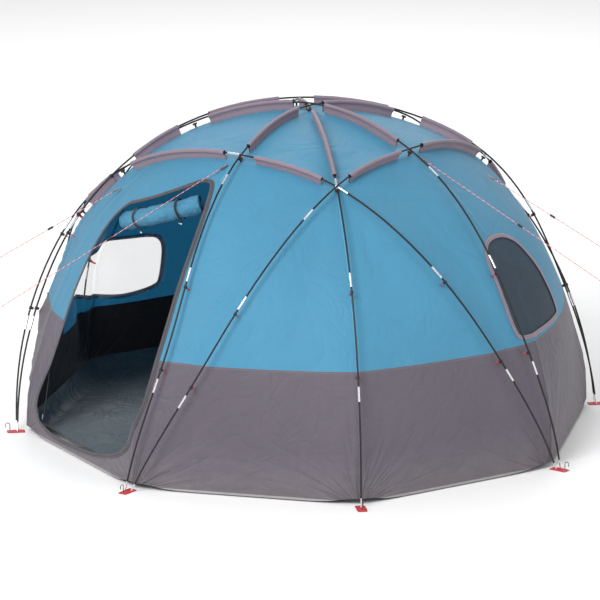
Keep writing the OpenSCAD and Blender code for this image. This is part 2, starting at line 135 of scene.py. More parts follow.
class Pole:
    """A pole's centreline, foot to foot, measured along its length."""

    STEPS = 10  # points from one node of its route to the next
    SECTION = 0.7  # about the length of one section of tube

    def __init__(self, *way):
        nodes = [np.append(direction(az, el), out) for az, el, out in way]
        nodes = [2 * nodes[0] - nodes[1]] + nodes + [2 * nodes[-1] - nodes[-2]]
        points = []
        for a, b, c, d in zip(nodes, nodes[1:], nodes[2:], nodes[3:]):
            points += [on_curve(a, b, c, d, k / self.STEPS) for k in range(self.STEPS)]
        points.append(nodes[-2])
        self.points = np.array([dome_point(p) for p in points])
        gaps = np.linalg.norm(np.diff(self.points, axis=0), axis=1)
        self.run = np.concatenate([[0], np.cumsum(gaps)])
        self.length = float(self.run[-1])
        self.sections = round(self.length / self.SECTION)

    def at(self, s):
        """The place at a distance s along the pole."""
        return np.array([np.interp(s, self.run, self.points[:, k]) for k in range(3)])

    def heading(self, s):
        """Unit vector along the pole at a distance s."""
        t = self.at(s + 0.008) - self.at(s - 0.008)
        return t / np.linalg.norm(t)

    def node(self, i):
        """Distance along the pole of a node of its route."""
        return self.run[i * self.STEPS]

    def axes(self, s):
        """Centre, along, sideways and outward vectors at a distance along the pole."""
        centre, along = self.at(s), self.heading(s)
        side = np.cross(along, centre)
        side /= np.linalg.norm(side)
        return centre, along, side, np.cross(side, along)


FRONT, APEX, UPPER, ARCH = (0, 59.7), (0, 90), (41.7, 66.9), (120, 67.3)
SIDE, LOW, BACK = (100, 54), (112, 40.7), (129, 48.6)
TOE = 0.65  # degrees that two pole tips stand to each side of their foot's middle


def on(k, crossing, layers=0):
    """A route node on a crossing, or on its mirror image, so many layers out."""
    return (k * crossing[0], crossing[1], layers * LAYER)


def apex_pole(k, over):
    """From a front foot over the top of the dome to the rear foot across from it."""
    return Pole((k * (SECTOR + TOE), 0, 0), (k * 38.5, 30, 0), on(k, UPPER), on(k, APEX, over), on(-k, ARCH),
                on(-k, BACK), (-k * 134, 20, 0), (-k * (3 * SECTOR + TOE), 0, 0))


def lean_pole(k, over):
    """From a front foot across the front of the dome, over the door or window, to a rear foot."""
    return Pole((k * (SECTOR - TOE), 0, 0), (k * 30.5, 25, 0), on(k, FRONT, over), on(-k, UPPER, 1),
                on(-k, SIDE), on(-k, LOW), (-k * 127, 18, 0), (-k * (3 * SECTOR - TOE), 0, 0))


CENTRE = Pole((0, 0, 0), (0, 29, 0), on(1, FRONT), on(1, APEX), (180, 75, 0), (180, 57, 0), (180, 28, 0),
              (180, 0, 0))
LEFT_APEX, RIGHT_APEX = apex_pole(-1, 1), apex_pole(1, 2)
LEFT_LEAN, RIGHT_LEAN = lean_pole(-1, 2), lean_pole(1, 1)
REAR_ARCH = Pole((-(90 - TOE), 0, 0), (-99, 26, -0.034), on(-1, SIDE, 1), on(-1, ARCH, 1), (180, 75, LAYER),
                 on(1, ARCH, 1), on(1, SIDE, 1), (99, 26, -0.034), (90 - TOE, 0, 0))
LOW_ARCH = Pole((-(90 + TOE), 0, 0), (-101.5, 24, 0), on(-1, LOW, 1), on(-1, BACK, 1), (180, 57, LAYER),
                on(1, BACK, 1), on(1, LOW, 1), (101.5, 24, 0), (90 + TOE, 0, 0))
POLES = [CENTRE, LEFT_APEX, RIGHT_APEX, LEFT_LEAN, RIGHT_LEAN, REAR_ARCH, LOW_ARCH]
# Four clips on each pole, two near each end, a little to the side of a ferrule
CLIPS = [(pole, s) for pole in POLES
         for near in (pole.length / pole.sections + 0.095, 2 * pole.length / pole.sections - 0.075)
         for s in (near, pole.length - near)]


# ---------------------------------------------------------------- the taut cloth under the poles
def smooth(x, low, high):
    """Rises smoothly from 0 at low to 1 at high."""
    t = np.clip((x - low) / (high - low), 0, 1)
    return t * t * (3 - 2 * t)


def cloth_radius(azimuth, z):
    """Distance of the untouched cloth from the tent's axis."""
    off_middle = (azimuth + 10 * SECTOR) % SECTOR - SECTOR / 2
    corner = math.cos(math.radians(SECTOR / 2)) / np.cos(np.radians(off_middle))
    cornering = np.where(z < ROUND_Z, (1 - np.minimum(z, ROUND_Z) / ROUND_Z) ** 1.5, 0)
    sideways = np.clip(0.6 - np.cos(np.radians(azimuth)), 0, 1)
    flatten = np.where(z < ROUND_Z, 1 - 0.04 * sideways * np.sin(np.pi * z / ROUND_Z), 1)
    round_part = np.maximum(0, 1 - (z / CLOTH_HEIGHT) ** BULGE) ** (1 / BULGE)
    return (1 - (1 - corner) * cornering) * flatten * CLOTH_RADIUS * round_part


def cloth_base(azimuth, z):
    """Points of the untouched cloth and their outward unit vectors."""
    rho, a = cloth_radius(azimuth, z), np.radians(azimuth)
    place = np.stack([rho * np.sin(a), -rho * np.cos(a), z], -1)
    out = place * np.stack([np.ones_like(z), np.ones_like(z), z / CLOTH_HEIGHT], -1)
    return place, out / np.linalg.norm(out, axis=-1, keepdims=True)


# Length of the cloth's own meridian from the ground up to a height
MERIDIAN_Z = CLOTH_HEIGHT * np.sin(np.linspace(0, math.pi / 2, 400)) ** (2 / BULGE)
MERIDIAN_ARC = np.concatenate([[0], np.cumsum(np.hypot(
    np.diff(MERIDIAN_Z), np.diff(CLOTH_RADIUS * np.maximum(0, 1 - (MERIDIAN_Z / CLOTH_HEIGHT) ** BULGE)
                                 ** (1 / BULGE))))])
TOP_ARC = float(MERIDIAN_ARC[-1])


def arc_of(z):
    """Length up the meridian to a height."""
    return np.interp(z, MERIDIAN_Z, MERIDIAN_ARC)


def height_of(arc):
    """Height at a length up the meridian."""
    return np.interp(arc, MERIDIAN_ARC, MERIDIAN_Z)


def pull_lines():
    """For each pole, a search tree of its samples and how far each one draws the cloth out."""
    lines = []
    azimuths, arcs = np.meshgrid(np.arange(-180, 180, 1.5), np.linspace(0.01, TOP_ARC - 0.01, 130))
    base, base_out = cloth_base(azimuths.ravel(), height_of(arcs.ravel()))
    cloth = KDTree(len(base))
    for i, p in enumerate(base):
        cloth.insert(p, i)
    cloth.balance()
    for pole in POLES:
        spots = np.arange(0.02, pole.length - 0.02, 0.012)
        centres = np.array([pole.at(s) for s in spots])
        below = [cloth.find(c)[1] for c in centres]
        gap = ((centres - base[below]) * base_out[below]).sum(1) - UNDER_POLE
        clips = [s for owner, s in CLIPS if owner is pole]
        near_clip = np.max([np.exp(-(((spots - s) / 0.1) ** 2)) for s in clips], axis=0)
        bare = (centres[:, 2] < 1.15) * 1.0
        pull = np.maximum(gap, 0.003) * (1 - 0.22 * bare * (1 - near_clip))
        pull *= smooth(centres[:, 2], 0.02, 0.30)
        tree = KDTree(len(centres))
        for i, c in enumerate(centres):
            tree.insert(c, i)
        tree.balance()
        lines.append((tree, centres, pull))
    return lines


PULL_LINES = pull_lines()


def drawn_out(place, out):
    """How far each point of the cloth stands out from its untouched place, in metres."""
    nearest = np.full(len(place), 9.0)
    powers = np.zeros(len(place))
    for tree, centres, pull in PULL_LINES:
        index = np.array([tree.find(p)[1] for p in place])
        away = centres[index] - place
        across = away - (away * out).sum(1)[:, None] * out
        lateral = np.linalg.norm(across, axis=1)
        powers += (pull[index] * np.exp(-((lateral / 0.12) ** 1.15))) ** 5
        nearest = np.minimum(nearest, lateral)
    heights = powers**0.2
    z = place[:, 2]
    heights -= 0.019 * (1 - np.exp(-((nearest / 0.2) ** 2))) * smooth(z, 0.02, 0.5)
    for azimuth in range(0, 360, SECTOR):
        a = math.radians(azimuth)
        foot = CLOTH_RADIUS * np.array([math.sin(a), -math.cos(a), 0])
        reach = np.linalg.norm(place - foot, axis=1)
        swing = np.arctan2(z, (place - foot) @ np.array([math.cos(a), math.sin(a), 0]))
        heights += 0.0032 * np.exp(-reach / 0.42) * smooth(reach, 0.03, 0.15) * np.sin(13 * swing)
    slow = np.array([noise.noise(Vector(p) * 3.1) for p in place])
    quick = np.array([noise.noise(Vector((p[0] * 7, p[1] * 7, p[2] * 16 + 5))) for p in place])
    return heights + (0.0030 * slow + 0.0013 * quick) * smooth(z, 0.01, 0.12)


def surface(azimuth, arc, out=0.0):
    """Places on the finished cloth, by azimuth in degrees and length up the meridian."""
    azimuth, arc = np.atleast_1d(np.asarray(azimuth, float)), np.atleast_1d(np.asarray(arc, float))
    azimuth, arc = np.broadcast_arrays(azimuth, arc)
    place, outward = cloth_base(azimuth, height_of(arc))
    return place + outward * (drawn_out(place, outward) + out)[:, None]


def seam_height(azimuth):
    """Where the grey wall meets the blue canopy: lower under the rear window."""
    a = (azimuth + 360) % 360
    low = smooth(a, 179.0, 181.0) * (1 - smooth(a, 248.0, 250.0))
    return WALL_TOP + (LOW_WALL_TOP - WALL_TOP) * low


# ---------------------------------------------------------------- piece making
def piece(name, bm, finish, replaces=(), body="root"):
    """Turns a finished bmesh into a piece that rides on a body."""
    mesh = bpy.data.meshes.new(name)
    for face in bm.faces:
        face.smooth = True
    bm.to_mesh(mesh)
    bm.free()
    mesh.materials.append(finish)
    made = bpy.data.objects.new(name, mesh)
    bpy.context.collection.objects.link(made)
    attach(made, body)
    if replaces:
        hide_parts(*replaces)
    return made


def thicken(made, thickness):
    """Gives a sheet a thickness, half of it to each side."""
    wall = made.modifiers.new("thickness", "SOLIDIFY")
    wall.thickness, wall.offset = thickness, 0.0


def face_outwards(bm):
    """Turns an open sheet so that its faces look away from the tent's middle."""
    bmesh.ops.recalc_face_normals(bm, faces=bm.faces)
    bm.normal_update()
    middle = Vector((0, 0, 0.5))
    if sum((f.calc_center_median() - middle).dot(f.normal) * f.calc_area() for f in bm.faces) < 0:
        bmesh.ops.reverse_faces(bm, faces=bm.faces)


def add_ribbon(bm, columns, rows, place, metres, closed=False, capped=False):
    """Adds a grid of columns by rows cells with each vertex put at place(u, v).

    u runs along the columns and v along the rows, both from 0 to 1. metres is the
    ribbon's size for its UV map. A closed ribbon's last row meets its first one.
    """
    uv = bm.loops.layers.uv.verify()
    verts = bmesh.ops.create_grid(bm, x_segments=columns, y_segments=rows, size=0.5)["verts"]
    flat = np.array([(v.co.x + 0.5, v.co.y + 0.5) for v in verts])
    faces = {f for v in verts for f in v.link_faces}
    for f in faces:
        for loop in f.loops:
            loop[uv].uv = ((loop.vert.co.x + 0.5) * metres[0], (loop.vert.co.y + 0.5) * metres[1])
    for v, p in zip(verts, place(flat[:, 0], flat[:, 1])):
        v.co = p
    if closed:
        bmesh.ops.remove_doubles(bm, verts=verts, dist=1e-6)
        verts = [v for v in verts if v.is_valid]
    if capped:
        rim = [e for e in {e for v in verts for e in v.link_edges} if e.is_boundary]
        bmesh.ops.holes_fill(bm, edges=rim, sides=0)
    return verts


def add_tube(bm, points, radius, sides=8, closed=False):
    """Adds a round tube along points; radius is a number or one for each point."""
    points = np.asarray(points, float)
    count = len(points)
    radii = np.broadcast_to(radius, count)
    ahead = np.roll(points, -1, 0) - np.roll(points, 1, 0)
    if not closed:
        ahead[0], ahead[-1] = points[1] - points[0], points[-1] - points[-2]
    ahead /= np.linalg.norm(ahead, axis=1)[:, None]
    side = np.cross(ahead[0], [0.31, 0.2, 0.93])
    sides_of = []
    for t in ahead:
        side = side - t * (side @ t)
        side /= np.linalg.norm(side)
        sides_of.append(side)
    side, up = np.array(sides_of), np.cross(ahead, np.array(sides_of))
    gaps = np.linalg.norm(np.diff(points, axis=0), axis=1)

    def place(u, v):
        i = np.rint(u * (count - (0 if closed else 1))).astype(int) % count
        turn = 2 * math.pi * v[:, None]
        return points[i] + radii[i][:, None] * (side[i] * np.cos(turn) + up[i] * np.sin(turn))

    return add_ribbon(bm, count if closed else count - 1, sides, place,
                      (float(gaps.sum()), 2 * math.pi * float(radii.mean())), closed=True, capped=not closed)


def add_bar(bm, centre, axes, size, bevel=0.0):
    """Adds a bevelled block of that size, its own x, y and z along the three axes."""
    verts = bmesh.ops.create_cube(bm, size=1)["verts"]
    for v in verts:
        v.co = Vector(centre) + sum((Vector(a) * (c * s) for a, c, s in zip(axes, v.co, size)), Vector())
    edges = list({e for v in verts for e in v.link_edges})
    if bevel:
        bmesh.ops.bevel(bm, geom=edges, offset=bevel, affect="EDGES", segments=2, profile=0.5, material=-1)


def rounded(points, step=0.02):
    """A closed smooth outline through points of azimuth and height, as azimuth and arc."""
    p = np.array([(az, float(arc_of(z))) for az, z in points])
    line = []
    for i in range(len(p)):
        a, b, c, d = p[i - 1], p[i], p[(i + 1) % len(p)], p[(i + 2) % len(p)]
        count = max(2, int(np.linalg.norm((c - b) * [0.027, 1]) / step))
        line += [on_curve(a, b, c, d, k / count) for k in range(count)]
    return np.array(line)


# Outlines of the three openings, each a list of azimuths and heights
DOORWAY = rounded([(-86.4, 0.20), (-85.0, 0.115), (-80.5, 0.07), (-72, 0.062), (-60, 0.092), (-52, 0.15),
                   (-47.6, 0.23), (-45.6, 0.36), (-43.4, 0.52), (-42.2, 0.72), (-41.3, 0.95), (-41.1, 1.20),
                   (-41.6, 1.40), (-43.6, 1.55), (-47.5, 1.645), (-53, 1.655), (-60, 1.61), (-68, 1.545),
                   (-74, 1.50), (-78.4, 1.465), (-80.6, 1.38), (-80.4, 1.22), (-79.6, 1.0), (-80, 0.74),
                   (-82.4, 0.52), (-85.4, 0.34)])
SIDE_WINDOW = rounded([(39.4, 0.85), (39.0, 0.98), (39.1, 1.12), (39.6, 1.23), (42.0, 1.30), (46.5, 1.328),
                       (52.5, 1.318), (57.5, 1.26), (60.8, 1.14), (62.8, 1.0), (64.0, 0.87), (63.6, 0.80),
                       (60, 0.79), (52, 0.79), (45, 0.79), (40.6, 0.80)])
REAR_WINDOW = rounded([(-151.0, 0.56), (-151.2, 0.68), (-150.6, 0.80), (-148.6, 0.865), (-145, 0.89),
                       (-139, 0.897), (-132.5, 0.89), (-127, 0.862), (-122.6, 0.785), (-120.4, 0.68),
                       (-120.8, 0.605), (-125.5, 0.565), (-133, 0.515), (-140, 0.485), (-146, 0.495),
                       (-149.8, 0.52)])
AZ_SCALE = np.array([0.0275, 1.0])  # metres a degree across, metres a metre up


def inside(outline, spots):
    """True for each spot that lies within a closed outline."""
    x, y = spots[:, 0][:, None], spots[:, 1][:, None]
    a, b = outline, np.roll(outline, -1, 0)
    crosses = (a[:, 1] > y) != (b[:, 1] > y)
    with np.errstate(divide="ignore", invalid="ignore"):
        at = a[:, 0] + (y - a[:, 1]) * (b[:, 0] - a[:, 0]) / (b[:, 1] - a[:, 1])
    return (crosses & (x < at)).sum(1) % 2 == 1


def cut_opening(bm, outline):
    """Opens a flat grid of azimuth and arc inside an outline, and moves its rim onto the line."""
    faces = list(bm.faces)
    centres = np.array([f.calc_center_median()[:2] for f in faces])
    gone = {f for f, hit in zip(faces, inside(outline, centres)) if hit}
    rim = {v for f in gone for v in f.verts if any(g not in gone for g in v.link_faces)}
    line = outline * AZ_SCALE
    ends = np.roll(line, -1, 0)
    for v in rim:
        spot = np.array(v.co[:2]) * AZ_SCALE
        t = np.clip(((spot - line) * (ends - line)).sum(1) / ((ends - line) ** 2).sum(1), 0, 1)
        near = line + (ends - line) * t[:, None]
        v.co.x, v.co.y = near[np.argmin(((near - spot) ** 2).sum(1))] / AZ_SCALE
    bmesh.ops.delete(bm, geom=list(gone), context="FACES")


def drape(bm, out=0.0):
    """Maps a flat grid of azimuth and arc in metres, and lays it over the finished cloth."""
    uv = bm.loops.layers.uv.verify()
    for face in bm.faces:
        for loop in face.loops:
            loop[uv].uv = (math.radians(loop.vert.co.x) * GIRTH_RADIUS, loop.vert.co.y)
    verts = list(bm.verts)
    for v, p in zip(verts, surface([v.co.x for v in verts], [v.co.y for v in verts], out)):
        v.co = p


def cloth_sheet(name, columns, rows, low, high, openings, finish, replaces):
    """One continuous sheet round the tent between two heights of the meridian."""
    bm = bmesh.new()
    bmesh.ops.create_grid(bm, x_segments=columns, y_segments=rows, size=0.5)
    for v in bm.verts:
        azimuth = v.co.x * 360
        v.co = (azimuth, low(azimuth) + (high(azimuth) - low(azimuth)) * (v.co.y + 0.5), 0)
    for outline in openings:
        cut_opening(bm, outline)
    drape(bm)
    bmesh.ops.remove_doubles(bm, verts=bm.verts, dist=1e-5)
    face_outwards(bm)
    return piece(name, bm, finish, replaces)


def seam_arc(azimuth):
    """Length up the meridian to the seam between wall and canopy."""
    return float(arc_of(seam_height(azimuth)))


def hem_arc(azimuth):
    """The wall's hem: just off the ground, and higher where it is tied to a foot."""
    off_foot = (azimuth + 8.5 * SECTOR) % SECTOR - SECTOR / 2
    return float(arc_of(0.008 + 0.030 * math.exp(-((off_foot / 5.0) ** 2))))


def line_on_cloth(bm, azimuths, arcs, width, out, rows=2, closed=False, crown=0.0008):
    """Adds a band of cloth or tape that follows a line over the canopy."""
    line = np.stack([np.asarray(azimuths, float), np.asarray(arcs, float)], 1)
    ahead = np.roll(line, -1, 0) - np.roll(line, 1, 0)
    if not closed:
        ahead[0], ahead[-1] = line[1] - line[0], line[-1] - line[-2]
    rho = np.maximum(cloth_radius(line[:, 0], height_of(line[:, 1])), 0.05) * math.pi / 180
    ahead = ahead * np.stack([rho, np.ones_like(rho)], 1)
    ahead /= np.linalg.norm(ahead, axis=1)[:, None]
    aside = np.stack([-ahead[:, 1] / rho, ahead[:, 0]], 1)
    count = len(line)

    def place(u, v):
        i = np.rint(u * (count - (0 if closed else 1))).astype(int) % count
        spot = line[i] + aside[i] * ((v - 0.5) * width)[:, None]
        rise = out + crown * (1 - (2 * v - 1) ** 2)
        return surface(spot[:, 0], spot[:, 1], rise)

    length = float(np.linalg.norm(np.diff(line * AZ_SCALE, axis=0), axis=1).sum())
    return add_ribbon(bm, count if closed else count - 1, rows, place, (length, width), closed=closed)


# ---------------------------------------------------------------- shader groups
def shader_group(name, inputs, outputs):
    """A new node group with its named sockets, and the two ends to link it up from."""
    tree = bpy.data.node_groups.new(name, "ShaderNodeTree")
    for label, kind, value in inputs:
        socket = tree.interface.new_socket(label, in_out="INPUT", socket_type=kind)
        if value is not None:
            socket.default_value = value
    for label, kind in outputs:
        tree.interface.new_socket(label, in_out="OUTPUT", socket_type=kind)
    return tree, tree.nodes.new("NodeGroupInput").outputs, tree.nodes.new("NodeGroupOutput").inputs


def node(tree, kind, sockets=(), **settings):
    """A shader node with its settings, and a value or a link for each named socket."""
    made = tree.nodes.new("ShaderNode" + kind)
    for key, value in settings.items():
        setattr(made, key, value)
    for key, value in dict(sockets).items():
        if isinstance(value, bpy.types.NodeSocket):
            tree.links.new(value, made.inputs[key])
        else:
            made.inputs[key].default_value = value
    return made


def maths(tree, operation, *values):
    """The output of a Math node, from values or links."""
    return node(tree, "Math", dict(enumerate(values)), operation=operation).outputs[0]


def spread(tree, value, low, high, to_low=0.0, to_high=1.0):
    """The output of a Map Range node."""
    return node(tree, "MapRange", {"Value": value, "From Min": low, "From Max": high, "To Min": to_low,
                                   "To Max": to_high}).outputs[0]


def blend_colours(tree, factor, first, second):
    """A colour between first, at factor 0, and second, at 1."""
    made = node(tree, "Mix", data_type="RGBA")
    for index, value in ((0, factor), (6, first), (7, second)):
        if isinstance(value, bpy.types.NodeSocket):
            tree.links.new(value, made.inputs[index])
        else:
            made.inputs[index].default_value = value
    return made.outputs[2]


def make_weave():
    """Threads over and under one another, with that many threads to the metre each way."""
    tree, given, made = shader_group("Plain weave", [("Vector", "NodeSocketVector", None),
                                     ("Threads", "NodeSocketFloat", 700.0)], [("Height", "NodeSocketFloat")])
    parts = node(tree, "SeparateXYZ", {0: given["Vector"]}).outputs
    x, y = (maths(tree, "MULTIPLY", part, given["Threads"]) for part in (parts[0], parts[1]))
    warp = maths(tree, "ABSOLUTE", maths(tree, "SINE", maths(tree, "MULTIPLY", x, math.pi)))
    weft = maths(tree, "ABSOLUTE", maths(tree, "SINE", maths(tree, "MULTIPLY", y, math.pi)))
    cell = maths(tree, "ADD", maths(tree, "FLOOR", x), maths(tree, "FLOOR", y))
    turn = maths(tree, "PINGPONG", cell, 1.0)
    over = maths(tree, "MULTIPLY", warp, turn)
    under = maths(tree, "MULTIPLY", weft, maths(tree, "SUBTRACT", 1.0, turn))
    tree.links.new(maths(tree, "ADD", over, under), made["Height"])
    return tree


def make_creases():
    """Sharp creases between soft folds, size metres apart."""
    tree, given, made = shader_group("Soft creases", [("Vector", "NodeSocketVector", None),
                                     ("Size", "NodeSocketFloat", 0.3)], [("Height", "NodeSocketFloat")])
    scale = maths(tree, "DIVIDE", 1.0, given["Size"])
    folds = node(tree, "TexNoise", {"Vector": given["Vector"], "Scale": scale, "Detail": 3.0,
                                    "Roughness": 0.55, "Distortion": 0.9}).outputs[0]
    ridge = maths(tree, "ABSOLUTE", maths(tree, "SUBTRACT", folds, 0.5))
    sharp = maths(tree, "POWER", maths(tree, "MULTIPLY", ridge, 3.0), 0.7)
    tree.links.new(sharp, made["Height"])
    return tree


def make_drift():
    """Slow changes of shade over a surface, by amount."""
    tree, given, made = shader_group(
        "Shade drift", [("Vector", "NodeSocketVector", None), ("Colour", "NodeSocketColor", (1, 1, 1, 1)),
                        ("Size", "NodeSocketFloat", 0.5), ("Amount", "NodeSocketFloat", 0.1)],
        [("Colour", "NodeSocketColor")])
    scale = maths(tree, "DIVIDE", 1.0, given["Size"])
    slow = node(tree, "TexNoise", {"Vector": given["Vector"], "Scale": scale, "Detail": 4.0}).outputs[0]
    shade = maths(tree, "MULTIPLY", maths(tree, "SUBTRACT", slow, 0.5), given["Amount"])
    bright = maths(tree, "ADD", maths(tree, "MULTIPLY", shade, 2.0), 1.0)
    tree.links.new(node(tree, "HueSaturation", {"Value": bright, "Color": given["Colour"]}).outputs[0],
                   made["Colour"])
    return tree


def make_dust():
    """Dust that a tent picks up near the ground, thinning out with height."""
    tree, given, made = shader_group("Ground dust", [("Vector", "NodeSocketVector", None),
                                     ("Height", "NodeSocketFloat", 0.25)], [("Mask", "NodeSocketFloat")])
    z = node(tree, "SeparateXYZ", {0: given["Vector"]}).outputs[2]
    specks = node(tree, "TexNoise", {"Vector": given["Vector"], "Scale": 9.0, "Detail": 6.0,
                                     "Roughness": 0.7}).outputs[0]
    fall = maths(tree, "SUBTRACT", 1.0, maths(tree, "DIVIDE", z, given["Height"]))
    mask = maths(tree, "MULTIPLY", maths(tree, "MAXIMUM", fall, 0.0), specks)
    tree.links.new(mask, made["Mask"])
    return tree


def make_rub():
    """Marks where handling has rubbed a hard surface."""
    tree, given, made = shader_group("Rubbed marks", [("Vector", "NodeSocketVector", None),
                                     ("Size", "NodeSocketFloat", 0.02)], [("Mask", "NodeSocketFloat")])
    scale = maths(tree, "DIVIDE", 1.0, given["Size"])
    marks = node(tree, "TexNoise", {"Vector": given["Vector"], "Scale": scale, "Detail": 5.0,
                                    "Roughness": 0.65}).outputs[0]
    tree.links.new(spread(tree, marks, 0.55, 0.75), made["Mask"])
    return tree


def make_stitches():
    """Two rows of stitches near the edges of a tape of that width."""
    tree, given, made = shader_group("Stitch rows", [("UV", "NodeSocketVector", None),
                                     ("Width", "NodeSocketFloat", 0.02)], [("Mask", "NodeSocketFloat")])
    parts = node(tree, "SeparateXYZ", {0: given["UV"]}).outputs
    share = maths(tree, "DIVIDE", parts[1], given["Width"])
    edge = maths(tree, "ABSOLUTE", maths(tree, "SUBTRACT", share, 0.5))
    near = maths(tree, "ABSOLUTE", maths(tree, "SUBTRACT", edge, 0.36))
    row = maths(tree, "LESS_THAN", maths(tree, "MULTIPLY", near, given["Width"]), 0.0009)
    dash = maths(tree, "LESS_THAN", maths(tree, "FRACT", maths(tree, "DIVIDE", parts[0], 0.006)), 0.62)
    tree.links.new(maths(tree, "MULTIPLY", row, dash), made["Mask"])
    return tree


def make_corner_creases():
    """Creases that run out from each foot of the tent, spacing metres apart along the UV map's u."""
    tree, given, made = shader_group("Corner creases", [("UV", "NodeSocketVector", None),
                                     ("Spacing", "NodeSocketFloat", FOOT_SPACING),
                                     ("Reach", "NodeSocketFloat", 0.4)],
                                     [("Height", "NodeSocketFloat")])
    parts = node(tree, "SeparateXYZ", {0: given["UV"]}).outputs
    turns = maths(tree, "ROUND", maths(tree, "DIVIDE", parts[0], given["Spacing"]))
    across = maths(tree, "SUBTRACT", parts[0], maths(tree, "MULTIPLY", turns, given["Spacing"]))
    swing = maths(tree, "ARCTAN2", parts[1], across)
    reach = maths(tree, "SQRT", maths(tree, "ADD", maths(tree, "MULTIPLY", across, across),
                                      maths(tree, "MULTIPLY", parts[1], parts[1])))
    fan = node(tree, "CombineXYZ", {0: maths(tree, "MULTIPLY", swing, 3.2),
                                    1: maths(tree, "MULTIPLY", reach, 1.3), 2: turns}).outputs[0]
    rays = node(tree, "TexNoise", {"Vector": fan, "Scale": 1.5, "Detail": 1.5, "Roughness": 0.5}).outputs[0]
    ridge = maths(tree, "ABSOLUTE", maths(tree, "SUBTRACT", rays, 0.5))
    far = maths(tree, "DIVIDE", reach, given["Reach"])
    fade = maths(tree, "EXPONENT", maths(tree, "MULTIPLY", far, -1.0))
    sharp = maths(tree, "POWER", maths(tree, "MULTIPLY", ridge, 3.0), 0.6)
    tree.links.new(maths(tree, "MULTIPLY", sharp, fade), made["Height"])
    return tree


WEAVE, CREASES, DRIFT, DUST, RUB, STITCHES, CORNER_CREASES = (
    make_weave(), make_creases(), make_drift(), make_dust(), make_rub(), make_stitches(),
    make_corner_creases())


def use(tree, group, **sockets):
    """Places a shader group in a material with its own values."""
    made = tree.nodes.new("ShaderNodeGroup")
    made.node_tree = group
    for key, value in sockets.items():
        if isinstance(value, bpy.types.NodeSocket):
            tree.links.new(value, made.inputs[key])
        else:
            made.inputs[key].default_value = value
    return made.outputs[0]


def blank(name):
    """A new material, its node tree, its shader and its output."""
    finish = bpy.data.materials.new(name)
    finish.use_nodes = True
    tree = finish.node_tree
    return finish, tree, tree.nodes["Principled BSDF"], tree.nodes["Material Output"]


def rgba(colour):
    """A colour with full alpha."""
    return (*colour, 1.0)


def fabric(name, colour, inner, threads=700.0, weave_depth=0.0003, crease=0.22, crease_depth=0.004,
           through=0.0, dust=0.0, roughness=0.62, stitched=0.0, thread_colour=(0.30, 0.28, 0.30), drift=0.10,
           skirt=False, corner_depth=0.0):
    """Woven cloth or tape: its weave with painted shade in the weave's hollows, creases, shade drift, dust
    and stitching, and its inner side's colour, which is partly painted shade.

    through is the share of light that comes through it, and stitched is the width of a tape
    that has two rows of stitches. skirt gives the cloth its pale band at the ground.
    """
    finish, tree, shader, output = blank(name)
    coordinates = node(tree, "TexCoord").outputs
    own, flat = coordinates["Object"], coordinates["UV"]
    shade = use(tree, DRIFT, Vector=own, Colour=rgba(colour), Size=0.45, Amount=drift)
    weave = use(tree, WEAVE, Vector=flat, Threads=threads)
    # Painted shade: the colour darkens towards 0.45 of itself in the hollows between the weave's threads.
    painted_weave_shade = spread(tree, weave, 0.0, 0.5, 0.25, 0.0)
    shade = blend_colours(tree, painted_weave_shade, shade, rgba([c * 0.45 for c in colour]))
    if skirt:
        z = node(tree, "SeparateXYZ", {0: own}).outputs[2]
        shade = blend_colours(tree, spread(tree, z, 0.020, 0.024, 0.85, 0.0), shade, (0.36, 0.35, 0.36, 1))
    if dust:
        mask = use(tree, DUST, Vector=own, Height=0.30)
        shade = blend_colours(tree, maths(tree, "MULTIPLY", mask, dust), shade, (0.42, 0.38, 0.34, 1))
    if stitched:
        mask = use(tree, STITCHES, UV=flat, Width=stitched)
        shade = blend_colours(tree, mask, shade, rgba(thread_colour))
    # The inner side's colour is partly the coated side's own colour and partly painted shade of the dim
    # inside of the tent.
    if inner:
        behind = node(tree, "NewGeometry").outputs["Backfacing"]
        shade = blend_colours(tree, behind, shade, rgba(inner))
    tree.links.new(shade, shader.inputs["Base Color"])
    tree.links.new(spread(tree, weave, 0.0, 1.0, roughness + 0.1, roughness - 0.06),
                   shader.inputs["Roughness"])
    shader.inputs["Sheen Weight"].default_value = 0.12
    shader.inputs["Specular IOR Level"].default_value = 0.35
    folds = use(tree, CREASES, Vector=own, Size=crease)
    soft = node(tree, "Bump", {"Height": folds, "Distance": crease_depth, "Strength": 0.7})
    if corner_depth:
        rays = use(tree, CORNER_CREASES, UV=flat, Spacing=FOOT_SPACING, Reach=0.40)
        soft = node(tree, "Bump", {"Height": rays, "Distance": corner_depth, "Strength": 0.9,
                                   "Normal": soft.outputs[0]})
    fine = node(tree, "Bump", {"Height": weave, "Distance": weave_depth, "Strength": 0.35,
                               "Normal": soft.outputs[0]})
    tree.links.new(fine.outputs[0], shader.inputs["Normal"])
    if through:
        glow = node(tree, "BsdfTranslucent", {"Color": shade})
        both = node(tree, "MixShader", {0: through, 1: shader.outputs[0], 2: glow.outputs[0]})
        tree.links.new(both.outputs[0], output.inputs["Surface"])
    return finish


